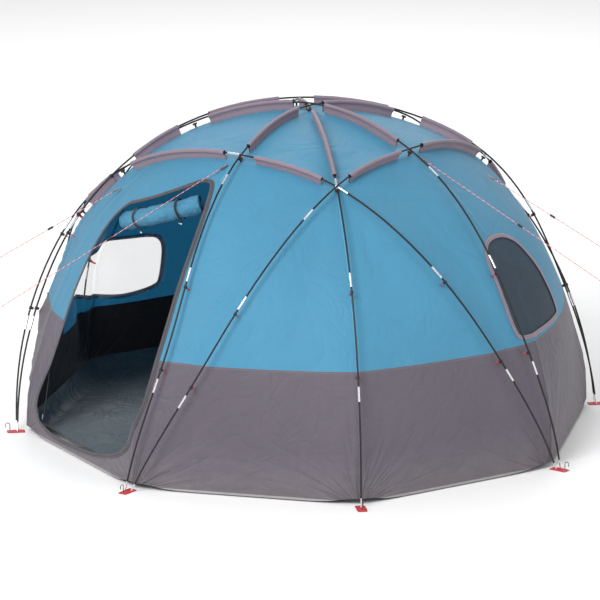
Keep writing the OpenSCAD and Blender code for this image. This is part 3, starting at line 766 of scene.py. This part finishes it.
def hard(name, colour, worn, roughness=0.4, metallic=0.0, coat=0.0, rub=0.02, grain=400.0, depth=0.0001):
    """Moulded plastic, fibreglass or metal, with rubbed marks and a fine grain."""
    finish, tree, shader, _ = blank(name)
    own = node(tree, "TexCoord").outputs["Object"]
    marks = use(tree, RUB, Vector=own, Size=rub)
    shade = use(tree, DRIFT, Vector=own, Colour=rgba(colour), Size=0.08, Amount=0.12)
    tree.links.new(blend_colours(tree, maths(tree, "MULTIPLY", marks, 0.55), shade, rgba(worn)),
                   shader.inputs["Base Color"])
    tree.links.new(spread(tree, marks, 0.0, 1.0, roughness, min(1.0, roughness + 0.18)),
                   shader.inputs["Roughness"])
    shader.inputs["Metallic"].default_value = metallic
    shader.inputs["Coat Weight"].default_value = coat
    shader.inputs["Coat Roughness"].default_value = 0.15
    shader.inputs["Specular IOR Level"].default_value = 0.3
    fine = node(tree, "TexNoise", {"Vector": own, "Scale": grain, "Detail": 2.0}).outputs[0]
    bump = node(tree, "Bump", {"Height": fine, "Distance": depth, "Strength": 0.4})
    tree.links.new(bump.outputs[0], shader.inputs["Normal"])
    return finish


def braid(name, colour, fleck):
    """A round braided cord with light flecks."""
    finish, tree, shader, _ = blank(name)
    coordinates = node(tree, "TexCoord").outputs
    parts = node(tree, "SeparateXYZ", {0: coordinates["UV"]}).outputs
    along = maths(tree, "MULTIPLY", parts[0], 2 * math.pi / 0.009)
    about = maths(tree, "MULTIPLY", parts[1], 2 * math.pi / 0.0063)
    one = maths(tree, "SINE", maths(tree, "ADD", along, about))
    other = maths(tree, "SINE", maths(tree, "SUBTRACT", along, about))
    strands = maths(tree, "MULTIPLY", one, other)
    flecks = maths(tree, "GREATER_THAN", maths(tree, "SINE", maths(tree, "ADD", maths(
        tree, "MULTIPLY", parts[0], 2 * math.pi / 0.036), about)), 0.55)
    shade = use(tree, DRIFT, Vector=coordinates["Object"], Colour=rgba(colour), Size=0.1, Amount=0.1)
    tree.links.new(blend_colours(tree, flecks, shade, rgba(fleck)), shader.inputs["Base Color"])
    shader.inputs["Roughness"].default_value = 0.75
    bump = node(tree, "Bump", {"Height": strands, "Distance": 0.0004, "Strength": 0.6})
    tree.links.new(bump.outputs[0], shader.inputs["Normal"])
    return finish


def window_net(name, colour):
    """Fine insect net: the holes between its threads let some light through."""
    finish, tree, shader, _ = blank(name)
    coordinates = node(tree, "TexCoord").outputs
    shade = use(tree, DRIFT, Vector=coordinates["Object"], Colour=rgba(colour), Size=0.3, Amount=0.12)
    threads = use(tree, WEAVE, Vector=coordinates["UV"], Threads=450.0)
    tree.links.new(shade, shader.inputs["Base Color"])
    tree.links.new(spread(tree, threads, 0.15, 0.45, 0.62, 1.0), shader.inputs["Alpha"])
    shader.inputs["Roughness"].default_value = 0.7
    folds = use(tree, CREASES, Vector=coordinates["Object"], Size=0.25)
    soft = node(tree, "Bump", {"Height": folds, "Distance": 0.004, "Strength": 0.6})
    tree.links.new(soft.outputs[0], shader.inputs["Normal"])
    return finish


def window_film(name, colour):
    """Clear film with a milky haze and soft ripples."""
    finish, tree, shader, _ = blank(name)
    own = node(tree, "TexCoord").outputs["Object"]
    haze = use(tree, DRIFT, Vector=own, Colour=rgba(colour), Size=0.15, Amount=0.05)
    tree.links.new(haze, shader.inputs["Base Color"])
    shader.inputs["Alpha"].default_value = 0.30
    shader.inputs["Roughness"].default_value = 0.12
    folds = use(tree, CREASES, Vector=own, Size=0.18)
    soft = node(tree, "Bump", {"Height": folds, "Distance": 0.003, "Strength": 0.5})
    tree.links.new(soft.outputs[0], shader.inputs["Normal"])
    return finish


CANOPY_BLUE = (0.070, 0.285, 0.455)
WALL_GREY = (0.103, 0.089, 0.114)
SLEEVE_GREY = (0.215, 0.165, 0.205)
WEBBING_RED = (0.55, 0.012, 0.020)
TAPE_WIDTH, DOOR_TAPE_WIDTH, SEAM_WIDTH = 0.028, 0.030, 0.014
SLEEVE_CUT = 0.15  # width of a sleeve's cloth, cut flat

# The third colour of a cloth is its inner side: darker than the outside, partly its own colour and partly
# painted shade of the tent's inside.
canopy_cloth = fabric("canopy_cloth", CANOPY_BLUE, (0.022, 0.210, 0.400), through=0.24, crease=0.30,
                      crease_depth=0.008, corner_depth=0.030)
wall_cloth = fabric("wall_cloth", WALL_GREY, (0.020, 0.019, 0.022), through=0.05, crease=0.22, dust=0.25,
                    skirt=True, crease_depth=0.009, corner_depth=0.020)
floor_cloth = fabric("floor_cloth", (0.046, 0.088, 0.112), None, crease=0.22, crease_depth=0.014, dust=0.25,
                     roughness=0.42)
sleeve_cloth = fabric("sleeve_cloth", SLEEVE_GREY, (0.10, 0.08, 0.10), crease=0.06, crease_depth=0.002,
                      stitched=SLEEVE_CUT)
seam_tape = fabric("seam_tape", (0.060, 0.270, 0.430), None, crease=0.05, crease_depth=0.001,
                   stitched=SEAM_WIDTH, thread_colour=(0.12, 0.42, 0.58))
wall_seam_tape = fabric("wall_seam_tape", (0.100, 0.087, 0.111), None, crease=0.05, crease_depth=0.001,
                        stitched=SEAM_WIDTH, thread_colour=(0.22, 0.2, 0.22))
binding_tape = fabric("binding_tape", SLEEVE_GREY, None, threads=500, crease=0.05, crease_depth=0.001,
                      stitched=0.026)
door_tape = fabric("door_tape", (0.045, 0.042, 0.050), None, threads=500, crease=0.05, crease_depth=0.001,
                   stitched=0.024, thread_colour=(0.2, 0.19, 0.2))
red_webbing = fabric("red_webbing", WEBBING_RED, None, threads=420, weave_depth=0.0006, crease=0.04,
                     crease_depth=0.0008, thread_colour=(0.7, 0.1, 0.1))
black_webbing = fabric("black_webbing", (0.016, 0.015, 0.018), None, threads=420, weave_depth=0.0006,
                       crease=0.04, crease_depth=0.0008)
grey_webbing = fabric("grey_webbing", SLEEVE_GREY, None, threads=420, weave_depth=0.0006, crease=0.04,
                      crease_depth=0.0008)
door_cloth = fabric("door_cloth", (0.045, 0.205, 0.330), (0.02, 0.10, 0.17), crease=0.06, crease_depth=0.006,
                    drift=0.25)
net = window_net("window_net", (0.020, 0.040, 0.062))
film = window_film("window_film_clear", (0.90, 0.89, 0.87))
rope_braid = braid("rope_braid", (0.50, 0.020, 0.045), (0.80, 0.78, 0.78))
FINISHES = {
    "pole_fibreglass": hard("pole_fibreglass_black", (0.012, 0.012, 0.014), (0.05, 0.05, 0.055), 0.48),
    "metal_tips": hard("bright_steel", (0.72, 0.72, 0.74), (0.45, 0.45, 0.46), 0.26, metallic=0.85,
                       rub=0.03),
    "peg_steel": hard("peg_enamel", (0.020, 0.018, 0.020), (0.30, 0.28, 0.27), 0.38, coat=0.2, rub=0.012),
    "black_plastic": hard("clip_plastic", (0.018, 0.018, 0.020), (0.08, 0.08, 0.085), 0.45),
    "toggle_plastic": hard("toggle_plastic_white", (0.78, 0.77, 0.74), (0.55, 0.53, 0.50), 0.35),
    "zip_tape": hard("zip_coil_nylon", (0.022, 0.021, 0.024), (0.08, 0.08, 0.08), 0.5, grain=900.0,
                     depth=0.0004),
}


def finish_cad_nodes():
    """Gives each shown CAD node the finish of its material slot."""
    kept = {
        "pole_fibreglass": ("pole_centre", "pole_left_apex", "pole_right_apex", "pole_left_lean",
                            "pole_right_lean", "pole_rear_arch", "pole_low_arch"),
        "metal_tips": ("ferrules", "pole_tips", "foot_eyelets", "rope_loops", "zip_pull"),
        "peg_steel": ("peg_hooks",),
        "black_plastic": ("clip_hooks", "zip_slider", "runner_front_left", "runner_left",
                          "runner_front_right", "runner_right"),
        "zip_tape": ("door_zip",),
    }
    for slot, nodes in kept.items():
        for name in nodes:
            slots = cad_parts[name].material_slots
            for place in slots:
                place.material = FINISHES[slot]
            if not slots:
                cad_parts[name].data.materials.append(FINISHES[slot])


# ---------------------------------------------------------------- guy ropes
ROPES = {
    "front_left": ((-0.630, -0.560, 1.720), (-2.080, -0.840, 0.940)),
    "left": ((-1.200, 0.0, 1.470), (-2.020, -0.200, 1.080)),
    "front_right": ((0.610, -0.590, 1.720), (1.670, -1.300, 1.020)),
    "right": ((1.080, -0.310, 1.530), (1.720, -0.820, 1.150)),
}
ROPE_D = 0.004
ROPE_STEPS = 36


def turns_about(start, along, count, pitch, radius):
    """Points of a helix round a line."""
    side = np.cross(along, [0, 0, 1])
    side /= np.linalg.norm(side)
    up = np.cross(side, along)
    turn = np.linspace(0, 2 * math.pi * count, int(12 * count) + 1)
    return (start + np.outer(turn / (2 * math.pi) * pitch, along) + radius * np.outer(np.cos(turn), side)
            + radius * np.outer(np.sin(turn), up))


def make_ropes():
    """Each guy rope, taut from its tab to its end loop, with a whipped knot at both ends."""
    for name, (start, end) in ROPES.items():
        start, end = np.array(start), np.array(end)
        length = float(np.linalg.norm(end - start))
        along = (end - start) / length
        path = [start + (end - start) * k / ROPE_STEPS for k in range(ROPE_STEPS + 1)]
        bm = bmesh.new()
        add_tube(bm, path, ROPE_D / 2, sides=10)
        bmesh.ops.recalc_face_normals(bm, faces=bm.faces)
        rope = piece("guy_rope_" + name, bm, rope_braid, ["rope_" + name])
        bm = bmesh.new()
        for spot in (start + along * 0.012, end - along * 0.026):
            add_tube(bm, turns_about(spot, along, 3, 0.0038, ROPE_D * 0.92), 0.0019, sides=6)
        bmesh.ops.recalc_face_normals(bm, faces=bm.faces)
        knots = piece("rope_knots_" + name, bm, rope_braid)


def make_guy_tabs():
    """Folded webbing tabs that hold the ropes to the canopy."""
    bm = bmesh.new()
    for start, end in ROPES.values():
        start, end = np.array(start), np.array(end)
        along = (end - start) / np.linalg.norm(end - start)
        side = np.cross(along, [0, 0, 1])
        side /= np.linalg.norm(side)
        up = np.cross(side, along)
        for lift in (-1, 1):
            def place(u, v, lift=lift):
                run = -0.056 + 0.055 * u
                half = np.where(u > 0.75, 0.009 - 0.005 * (u - 0.75) / 0.25, 0.009)
                gap = lift * (0.0011 + 0.0028 * np.sin(np.pi * np.clip((u - 0.45) / 0.55, 0, 1)))
                return start + np.outer(run, along) + np.outer((2 * v - 1) * half, side) + np.outer(gap, up)

            add_ribbon(bm, 12, 4, place, (0.055, 0.018))
    tabs = piece("guy_rope_tabs", bm, grey_webbing, ["guy_tabs"])
    thicken(tabs, 0.0014)


# ---------------------------------------------------------------- canopy, walls and floor
def make_canopy():
    """The blue sheet over the top and the grey one below it, each in one piece."""
    blue = cloth_sheet("canopy_sheet", 320, 76, seam_arc, lambda a: TOP_ARC,
                       (DOORWAY, SIDE_WINDOW, REAR_WINDOW), canopy_cloth,
                       ["canopy_front_left", "canopy_front_right", "canopy_right", "canopy_right_rear",
                        "canopy_rear_right", "canopy_rear_left", "canopy_left_rear", "door_surround",
                        "roof_ring", "roof_cap"])
    grey = cloth_sheet("wall_sheet", 320, 22, hem_arc, seam_arc, (DOORWAY,), wall_cloth,
                       ["wall_front_left", "wall_front_right", "wall_right", "wall_right_rear",
                        "wall_rear_right", "wall_rear_left", "wall_left_rear"])


SEAM_TOP = 1.72


def seam_up(bm, azimuth, low, high):
    """Adds a felled seam up a corner of the cloth, between two heights."""
    arcs = np.linspace(arc_of(low), arc_of(high), max(4, int((high - low) / 0.03)))
    line_on_cloth(bm, np.full(len(arcs), azimuth + 0.2), arcs, SEAM_WIDTH, 0.0012)


def make_canopy_seams():
    """The canopy's corner seams, which stop at the door and the windows."""
    bm = bmesh.new()
    for azimuth in range(-180, 180, SECTOR):
        low = float(seam_height(azimuth))
        cut_short = {-45: [(1.66, SEAM_TOP)], 45: [(1.34, SEAM_TOP)],
                     -135: [(low, 0.485), (0.905, SEAM_TOP)]}
        for start, stop in cut_short.get(azimuth, [(low, SEAM_TOP)]):
            seam_up(bm, azimuth, start, stop)
    face_outwards(bm)
    piece("canopy_seams", bm, seam_tape)


def make_wall_seams():
    """The walls' corner seams, and the seam along their top, which stops at the door."""
    bm = bmesh.new()
    for azimuth in range(-180, 180, SECTOR):
        seam_up(bm, azimuth, 0.038, 0.20 if azimuth == -45 else float(seam_height(azimuth)))
    for run in (np.linspace(-180, -80.8, 90), np.linspace(-41.4, 180, 200)):
        line_on_cloth(bm, run, [seam_arc(a) - 0.005 for a in run], 0.012, 0.0012)
    face_outwards(bm)
    piece("wall_seams", bm, wall_seam_tape)


def floor_rise(x, y):
    """Height of the wrinkled floor over the ground."""
    edge = max(x * math.sin(math.radians(a)) - y * math.cos(math.radians(a)) for a in FLAT_SIDES)
    wave = noise.noise(Vector((x * 2.3, y * 2.3, 0.4))) + 0.6 * noise.noise(Vector((x * 6.1, y * 5.2, 3.1)))
    fold = abs(noise.noise(Vector((x * 3.4 + 0.4 * y, y * 1.9, 7.7))))
    bathtub = 0.085 * float(smooth(np.array(edge), 1.47, 1.60)) ** 1.5
    return 0.0075 + 0.004 * wave + 0.009 * max(0.0, 0.5 - 2.4 * fold) + bathtub


def make_floor():
    """The ground sheet, an octagon whose rim turns up a little inside the walls."""
    bm = bmesh.new()
    uv = bm.loops.layers.uv.verify()
    bmesh.ops.create_grid(bm, x_segments=110, y_segments=110, size=1.72)
    for azimuth in FLAT_SIDES:
        out = Vector(direction(azimuth, 0))
        bmesh.ops.bisect_plane(bm, geom=list(bm.verts) + list(bm.edges) + list(bm.faces),
                               plane_co=out * 1.592, plane_no=out, clear_outer=True)
    for face in bm.faces:
        for loop in face.loops:
            loop[uv].uv = loop.vert.co.xy
    for v in bm.verts:
        v.co.z = floor_rise(v.co.x, v.co.y)
    bmesh.ops.recalc_face_normals(bm, faces=bm.faces)
    if sum(f.normal.z for f in bm.faces) < 0:
        bmesh.ops.reverse_faces(bm, faces=bm.faces)
    floor = piece("floor_sheet", bm, floor_cloth, ["ground_sheet"])


# ---------------------------------------------------------------- pole sleeves
def sleeve_spans():
    """Every sleeve by the CAD node that it stands for: a pole and where it starts and ends."""
    end = 0.110  # left bare at each crossing
    spans = {"sleeves_apex": [], "sleeves_front": [], "sleeves_rear": []}
    for pole, node_name, ranges in (
            (CENTRE, "sleeves_apex", (2, 3, 4)), (LEFT_APEX, "sleeves_apex", (2, 3)),
            (RIGHT_APEX, "sleeves_apex", (2, 3)), (LEFT_LEAN, "sleeves_front", (2, 3, 4)),
            (RIGHT_LEAN, "sleeves_front", (2, 3, 4)), (REAR_ARCH, "sleeves_rear", (2, 3, 4, 5)),
            (LOW_ARCH, "sleeves_rear", (2, 3, 4, 5))):
        for i in ranges:
            spans[node_name].append((pole, pole.node(i) + end, pole.node(i + 1) - end))
    return spans


def sleeve_profile(v, fullness, drop):
    """Sideways and outward place of a sleeve's cloth: up one side of the fin, round, and down."""
    turn = np.clip((v - 0.30) / 0.40, 0, 1)
    angle = np.radians(-90 + 12) + turn * np.radians(336)
    radius = 0.0118 * fullness
    x, y = radius * np.cos(angle), radius * np.sin(angle)
    down = np.clip((0.30 - v) / 0.30, 0, 1) + np.clip((v - 0.70) / 0.30, 0, 1)
    x = np.where(down > 0, x * (1 - 0.45 * down), x)
    y = np.where(down > 0, -radius * 0.98 - (drop - radius) * down, y)
    return x, y


def make_sleeves():
    """Sleeves that close round the poles and run down to the canopy in a fin."""
    for name, spans in sleeve_spans().items():
        bm = bmesh.new()
        for pole, start, stop in spans:
            steps = max(8, int((stop - start) / 0.016))
            axes = [pole.axes(start + (stop - start) * k / steps) for k in range(steps + 1)]
            centre, along, side, out = (np.array([a[k] for a in axes]) for k in range(4))
            ruck = np.array([noise.noise(Vector(c) * 30) for c in centre])
            lean = np.array([noise.noise(Vector(c) * 9 + Vector((4, 0, 0))) for c in centre])
            rim = np.exp(-np.minimum(np.arange(steps + 1), steps - np.arange(steps + 1)) / 1.2)

            def place(u, v):
                i = np.rint(u * steps).astype(int)
                x, y = sleeve_profile(v, 1 + 0.10 * ruck[i] + 0.10 * rim[i], UNDER_POLE + 0.003)
                x = x + 0.0035 * lean[i] * np.clip(-y / 0.05, 0, 1)
                return centre[i] + side[i] * x[:, None] + out[i] * y[:, None]

            add_ribbon(bm, steps, 22, place, (stop - start, SLEEVE_CUT))
        made = piece("pole_" + name, bm, sleeve_cloth, [name])


# ---------------------------------------------------------------- clips, feet and crossings
def make_clip_straps():
    """Red webbing from each clip down to the canopy."""
    bm = bmesh.new()
    for pole, s in CLIPS:
        centre, along, side, out = pole.axes(s)

        def place(u, v):
            depth = -0.0175 - u * (UNDER_POLE + 0.001 - 0.0175)
            bow = 0.0012 * np.sin(np.pi * u)
            half = (2 * v - 1) * 0.0088
            return centre + np.outer(depth, out) + np.outer(half, side) + np.outer(bow, along)

        add_ribbon(bm, 8, 4, place, (0.034, 0.018))
    straps = piece("clip_webbing", bm, red_webbing, ["clip_straps"])
    thicken(straps, 0.0018)


def make_foot_tabs():
    """A red webbing tab under each foot, with a hole for its eyelet."""
    bm = bmesh.new()
    for azimuth in range(0, 360, SECTOR):
        out, side = direction(azimuth, 0), direction(azimuth + 90, 0)

        def place(u, v):
            run = -0.046 + 0.108 * u
            half = 0.029 - 0.006 * np.clip((u - 0.8) / 0.2, 0, 1) ** 2
            lift = 0.0016 + 0.0012 * np.sin(np.pi * v) * (1 - u)
            return (FOOT_RADIUS * out + np.outer(run, out) + np.outer((2 * v - 1) * half, side)
                    + np.outer(lift, [0, 0, 1]))

        add_ribbon(bm, 27, 14, place, (0.108, 0.058))
        hole = Vector(out * (FOOT_RADIUS + 0.044))
        cut = [f for f in bm.faces if (f.calc_center_median().xy - hole.xy).length < 0.0078]
        rim = {v for f in cut for v in f.verts if any(g not in cut for g in v.link_faces)}
        for v in rim:
            arm = (v.co.xy - hole.xy).normalized() * 0.0079
            v.co.x, v.co.y = hole.x + arm.x, hole.y + arm.y
        bmesh.ops.delete(bm, geom=cut, context="FACES")
    tabs = piece("foot_webbing", bm, red_webbing, ["foot_tabs"])
    thicken(tabs, 0.0024)


CROSSINGS = [FRONT, APEX, (180, 75), (180, 57)] + [
    (k * az, el) for az, el in (UPPER, ARCH, SIDE, LOW) for k in (-1, 1)]


def make_crossing_wraps():
    """A domed webbing patch under each crossing, with a tie down to the canopy."""
    bm = bmesh.new()
    for azimuth, elevation in CROSSINGS:
        out = direction(azimuth, elevation)
        top = dome_point(np.append(out, -0.0095))
        side = np.cross(out, [0.13, 0.99, 0.02])
        side /= np.linalg.norm(side)
        rise = np.cross(side, out)

        def cap(u, v):
            radius = 0.015 * np.interp(u, [0, 0.12, 0.3, 0.7, 0.88, 1], [0.0, 0.75, 1.0, 1.0, 0.8, 0.0])
            depth = np.interp(u, [0, 0.12, 0.3, 0.7, 0.88, 1], [0.0, 0.0003, 0.0025, 0.0095, 0.012, 0.0125])
            turn = 2 * math.pi * v
            return (top - np.outer(depth, out) + np.outer(radius * np.cos(turn), side)
                    + np.outer(radius * np.sin(turn), rise))

        add_ribbon(bm, 14, 20, cap, (0.04, 0.09), closed=True)
        for arm in (side, rise):
            add_bar(bm, top - out * 0.027, (out, arm, np.cross(out, arm)), (0.034, 0.012, 0.0016), 0.0004)
    bmesh.ops.recalc_face_normals(bm, faces=bm.faces)
    piece("crossing_patches", bm, black_webbing, ["crossing_wraps"])


# ---------------------------------------------------------------- doorway
ROLL_FROM, ROLL_TO = 279, 308  # azimuths of the rolled door's ends
ROLL_LOW, ROLL_HIGH = 1.4, 1.6  # and their heights
ROLL_INSIDE = 0.096
TOGGLES = {"toggle_left": 286, "toggle_right": 301}


def roll_centre(azimuth):
    """Middle of the rolled door, inside the top of the doorway."""
    azimuth = np.atleast_1d(np.asarray(azimuth, float))
    z = ROLL_LOW + (ROLL_HIGH - ROLL_LOW) * (azimuth - ROLL_FROM) / (ROLL_TO - ROLL_FROM)
    place, out = cloth_base(azimuth, z)
    return place - out * ROLL_INSIDE


def toggle_middle(name):
    """Middle of a toggle, where its cord passes through it."""
    low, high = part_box(name)
    return (np.array(low) + np.array(high)) / 2


def make_rolled_door():
    """The door's cloth in a loose roll, tighter at its two ties, with its free edge showing."""
    steps = 89
    azimuths = np.linspace(ROLL_FROM, ROLL_TO, steps + 1)
    line = roll_centre(azimuths)
    ahead = np.gradient(line, axis=0)
    ahead /= np.linalg.norm(ahead, axis=1)[:, None]
    side = np.cross(ahead, [0, 0, 1])
    side /= np.linalg.norm(side, axis=1)[:, None]
    up = np.cross(side, ahead)
    tight = np.max([np.exp(-(((azimuths - a) / 1.1) ** 2)) for a in TOGGLES.values()], axis=0)
    ends = np.exp(-np.minimum(azimuths - ROLL_FROM, ROLL_TO - azimuths) / 0.45)
    bm = bmesh.new()

    def outer(u, v):
        i = np.rint(u * steps).astype(int)
        turn = 2 * math.pi * v
        ruck = np.array([noise.noise(Vector((math.cos(t) * 1.1, math.sin(t) * 1.1, a * 0.42)))
                         + 0.5 * noise.noise(Vector((math.cos(t) * 2.6, math.sin(t) * 2.6, a * 0.9)))
                         for t, a in zip(turn, azimuths[i])])
        radius = (0.0525 - 0.0045 * tight[i] + 0.0055 * ruck * (1 - 0.6 * tight[i]) + 0.004 * v
                  - 0.006 * ends[i])
        return (line[i] + side[i] * (radius * np.cos(turn + 0.6))[:, None]
                + up[i] * (radius * np.sin(turn + 0.6))[:, None])

    add_ribbon(bm, steps, 56, outer, (0.9, 0.36))
    for end, sign in ((0, -1), (steps, 1)):
        def coil(u, v, end=end, sign=sign):
            turn = 2 * math.pi * 2.6 * u
            radius = 0.046 - 0.036 * u
            depth = -sign * 0.030 * v
            return (line[end] + np.outer(depth, ahead[end])
                    + np.outer(radius * np.cos(turn + 0.6), side[end])
                    + np.outer(radius * np.sin(turn + 0.6), up[end]))

        add_ribbon(bm, 90, 3, coil, (0.7, 0.03))
    bmesh.ops.recalc_face_normals(bm, faces=bm.faces)
    roll = piece("door_roll", bm, door_cloth, ["rolled_door"])
    thicken(roll, 0.0016)


def make_door_ties():
    """A band round the roll at each tie, and a cord from it that passes through its toggle."""
    bm = bmesh.new()
    cord_half = 0.0062  # half the gap between the cord's two sides
    for name, azimuth in TOGGLES.items():
        centre = roll_centre(azimuth)[0]
        along = roll_centre(azimuth + 1)[0] - roll_centre(azimuth - 1)[0]
        along /= np.linalg.norm(along)
        side = np.cross(along, [0, 0, 1])
        side /= np.linalg.norm(side)
        up = np.cross(side, along)

        def band(u, v):
            turn = 2 * math.pi * u
            radius = 0.0625 + 0.0006 * np.sin(5 * turn)
            return (centre + np.outer((v - 0.5) * 0.013, along) + np.outer(radius * np.cos(turn), side)
                    + np.outer(radius * np.sin(turn), up))

        add_ribbon(bm, 48, 3, band, (0.39, 0.013), closed=True)
        eye = toggle_middle(name)
        a = math.radians(azimuth)
        across = np.array([-math.sin(a), math.cos(a), 0])
        hang = centre[2] - 0.0612 - eye[2]
        half = [(0.0040, 0.0), (0.0055, 0.0006), (cord_half, 0.0022), (cord_half, hang / 2),
                (cord_half, hang)]
        loop = [(-x, z) for x, z in reversed(half)] + [(0.0, 0.0)] + half
        add_tube(bm, np.array([eye + across * x + np.array([0, 0, 1]) * z for x, z in loop]), 0.0010)
    ties = piece("door_tie_webbing", bm, black_webbing, ["door_ties"])
    thicken(ties, 0.0016)


def make_toggle(name, azimuth):
    """A turned toggle with a waist for its cord and rounded ends."""
    middle = toggle_middle(name)
    length, widest = 0.030, 0.0045
    a = math.radians(azimuth - 360)
    along = np.array([math.cos(a), math.sin(a), 0])
    side = np.array([-along[1], along[0], 0])
    bm = bmesh.new()

    def turned(u, v):
        radius = widest * np.interp(u, [0, 0.04, 0.12, 0.36, 0.44, 0.5, 0.56, 0.64, 0.88, 0.96, 1],
                                    [0, 0.62, 0.95, 1, 0.8, 0.7, 0.8, 1, 0.95, 0.62, 0])
        run = length * (np.clip(u, 0, 1) - 0.5)
        turn = 2 * math.pi * v
        return (middle + np.outer(run, along) + np.outer(radius * np.cos(turn), side)
                + np.outer(radius * np.sin(turn), [0, 0, 1]))

    add_ribbon(bm, 50, 18, turned, (length, 0.028), closed=True)
    bmesh.ops.recalc_face_normals(bm, faces=bm.faces)
    piece(name + "_turned", bm, FINISHES["toggle_plastic"], [name], body=name)


def make_doorway_tape():
    """The tape round the doorway, which carries the zip."""
    bm = bmesh.new()
    line_on_cloth(bm, DOORWAY[:, 0], DOORWAY[:, 1], DOOR_TAPE_WIDTH, TAPE_OUT, rows=4, closed=True)
    face_outwards(bm)
    tape = piece("doorway_tape", bm, door_tape)
    thicken(tape, 0.0012)


# ---------------------------------------------------------------- windows
def window_panel(name, outline, finish, replaces, out):
    """The sheet behind a window's opening, a little larger than the opening."""
    low, high = outline.min(0) - [0.8, 0.02], outline.max(0) + [0.8, 0.02]
    bm = bmesh.new()
    bmesh.ops.create_grid(bm, x_segments=34, y_segments=24, size=0.5)
    for v in bm.verts:
        azimuth, arc = low + (high - low) * (np.array(v.co[:2]) + 0.5)
        v.co = (azimuth, arc, 0)
    middle = outline.mean(0)
    grown = middle + (outline - middle) * 1.045
    faces = list(bm.faces)
    kept = inside(grown, np.array([f.calc_center_median()[:2] for f in faces]))
    bmesh.ops.delete(bm, geom=[f for f, keep in zip(faces, kept) if not keep], context="FACES")
    drape(bm, out)
    face_outwards(bm)
    return piece(name, bm, finish, replaces)


def make_windows():
    """The net and the film in their openings, and the binding round each."""
    panel = window_panel("side_window_net", SIDE_WINDOW, net, ["window_mesh"], -0.004)
    pane = window_panel("rear_window_film", REAR_WINDOW, film, ["rear_window_pane"], -0.004)
    for name, outline, node_name in (("side_window_binding", SIDE_WINDOW, "window_binding"),
                                     ("rear_window_edging", REAR_WINDOW, "rear_window_binding")):
        bm = bmesh.new()
        line_on_cloth(bm, outline[:, 0], outline[:, 1], TAPE_WIDTH, TAPE_OUT, rows=4, closed=True)
        face_outwards(bm)
        edging = piece(name, bm, binding_tape, [node_name])
        thicken(edging, 0.0012)


set_camera()
make_ropes()
set_studio()
make_guy_tabs()
finish_cad_nodes()
make_canopy()
make_canopy_seams()
make_wall_seams()
make_floor()
make_sleeves()
make_clip_straps()
make_foot_tabs()
make_crossing_wraps()
make_rolled_door()
make_door_ties()
for toggle, toggle_azimuth in TOGGLES.items():
    make_toggle(toggle, toggle_azimuth)
make_doorway_tape()
make_windows()
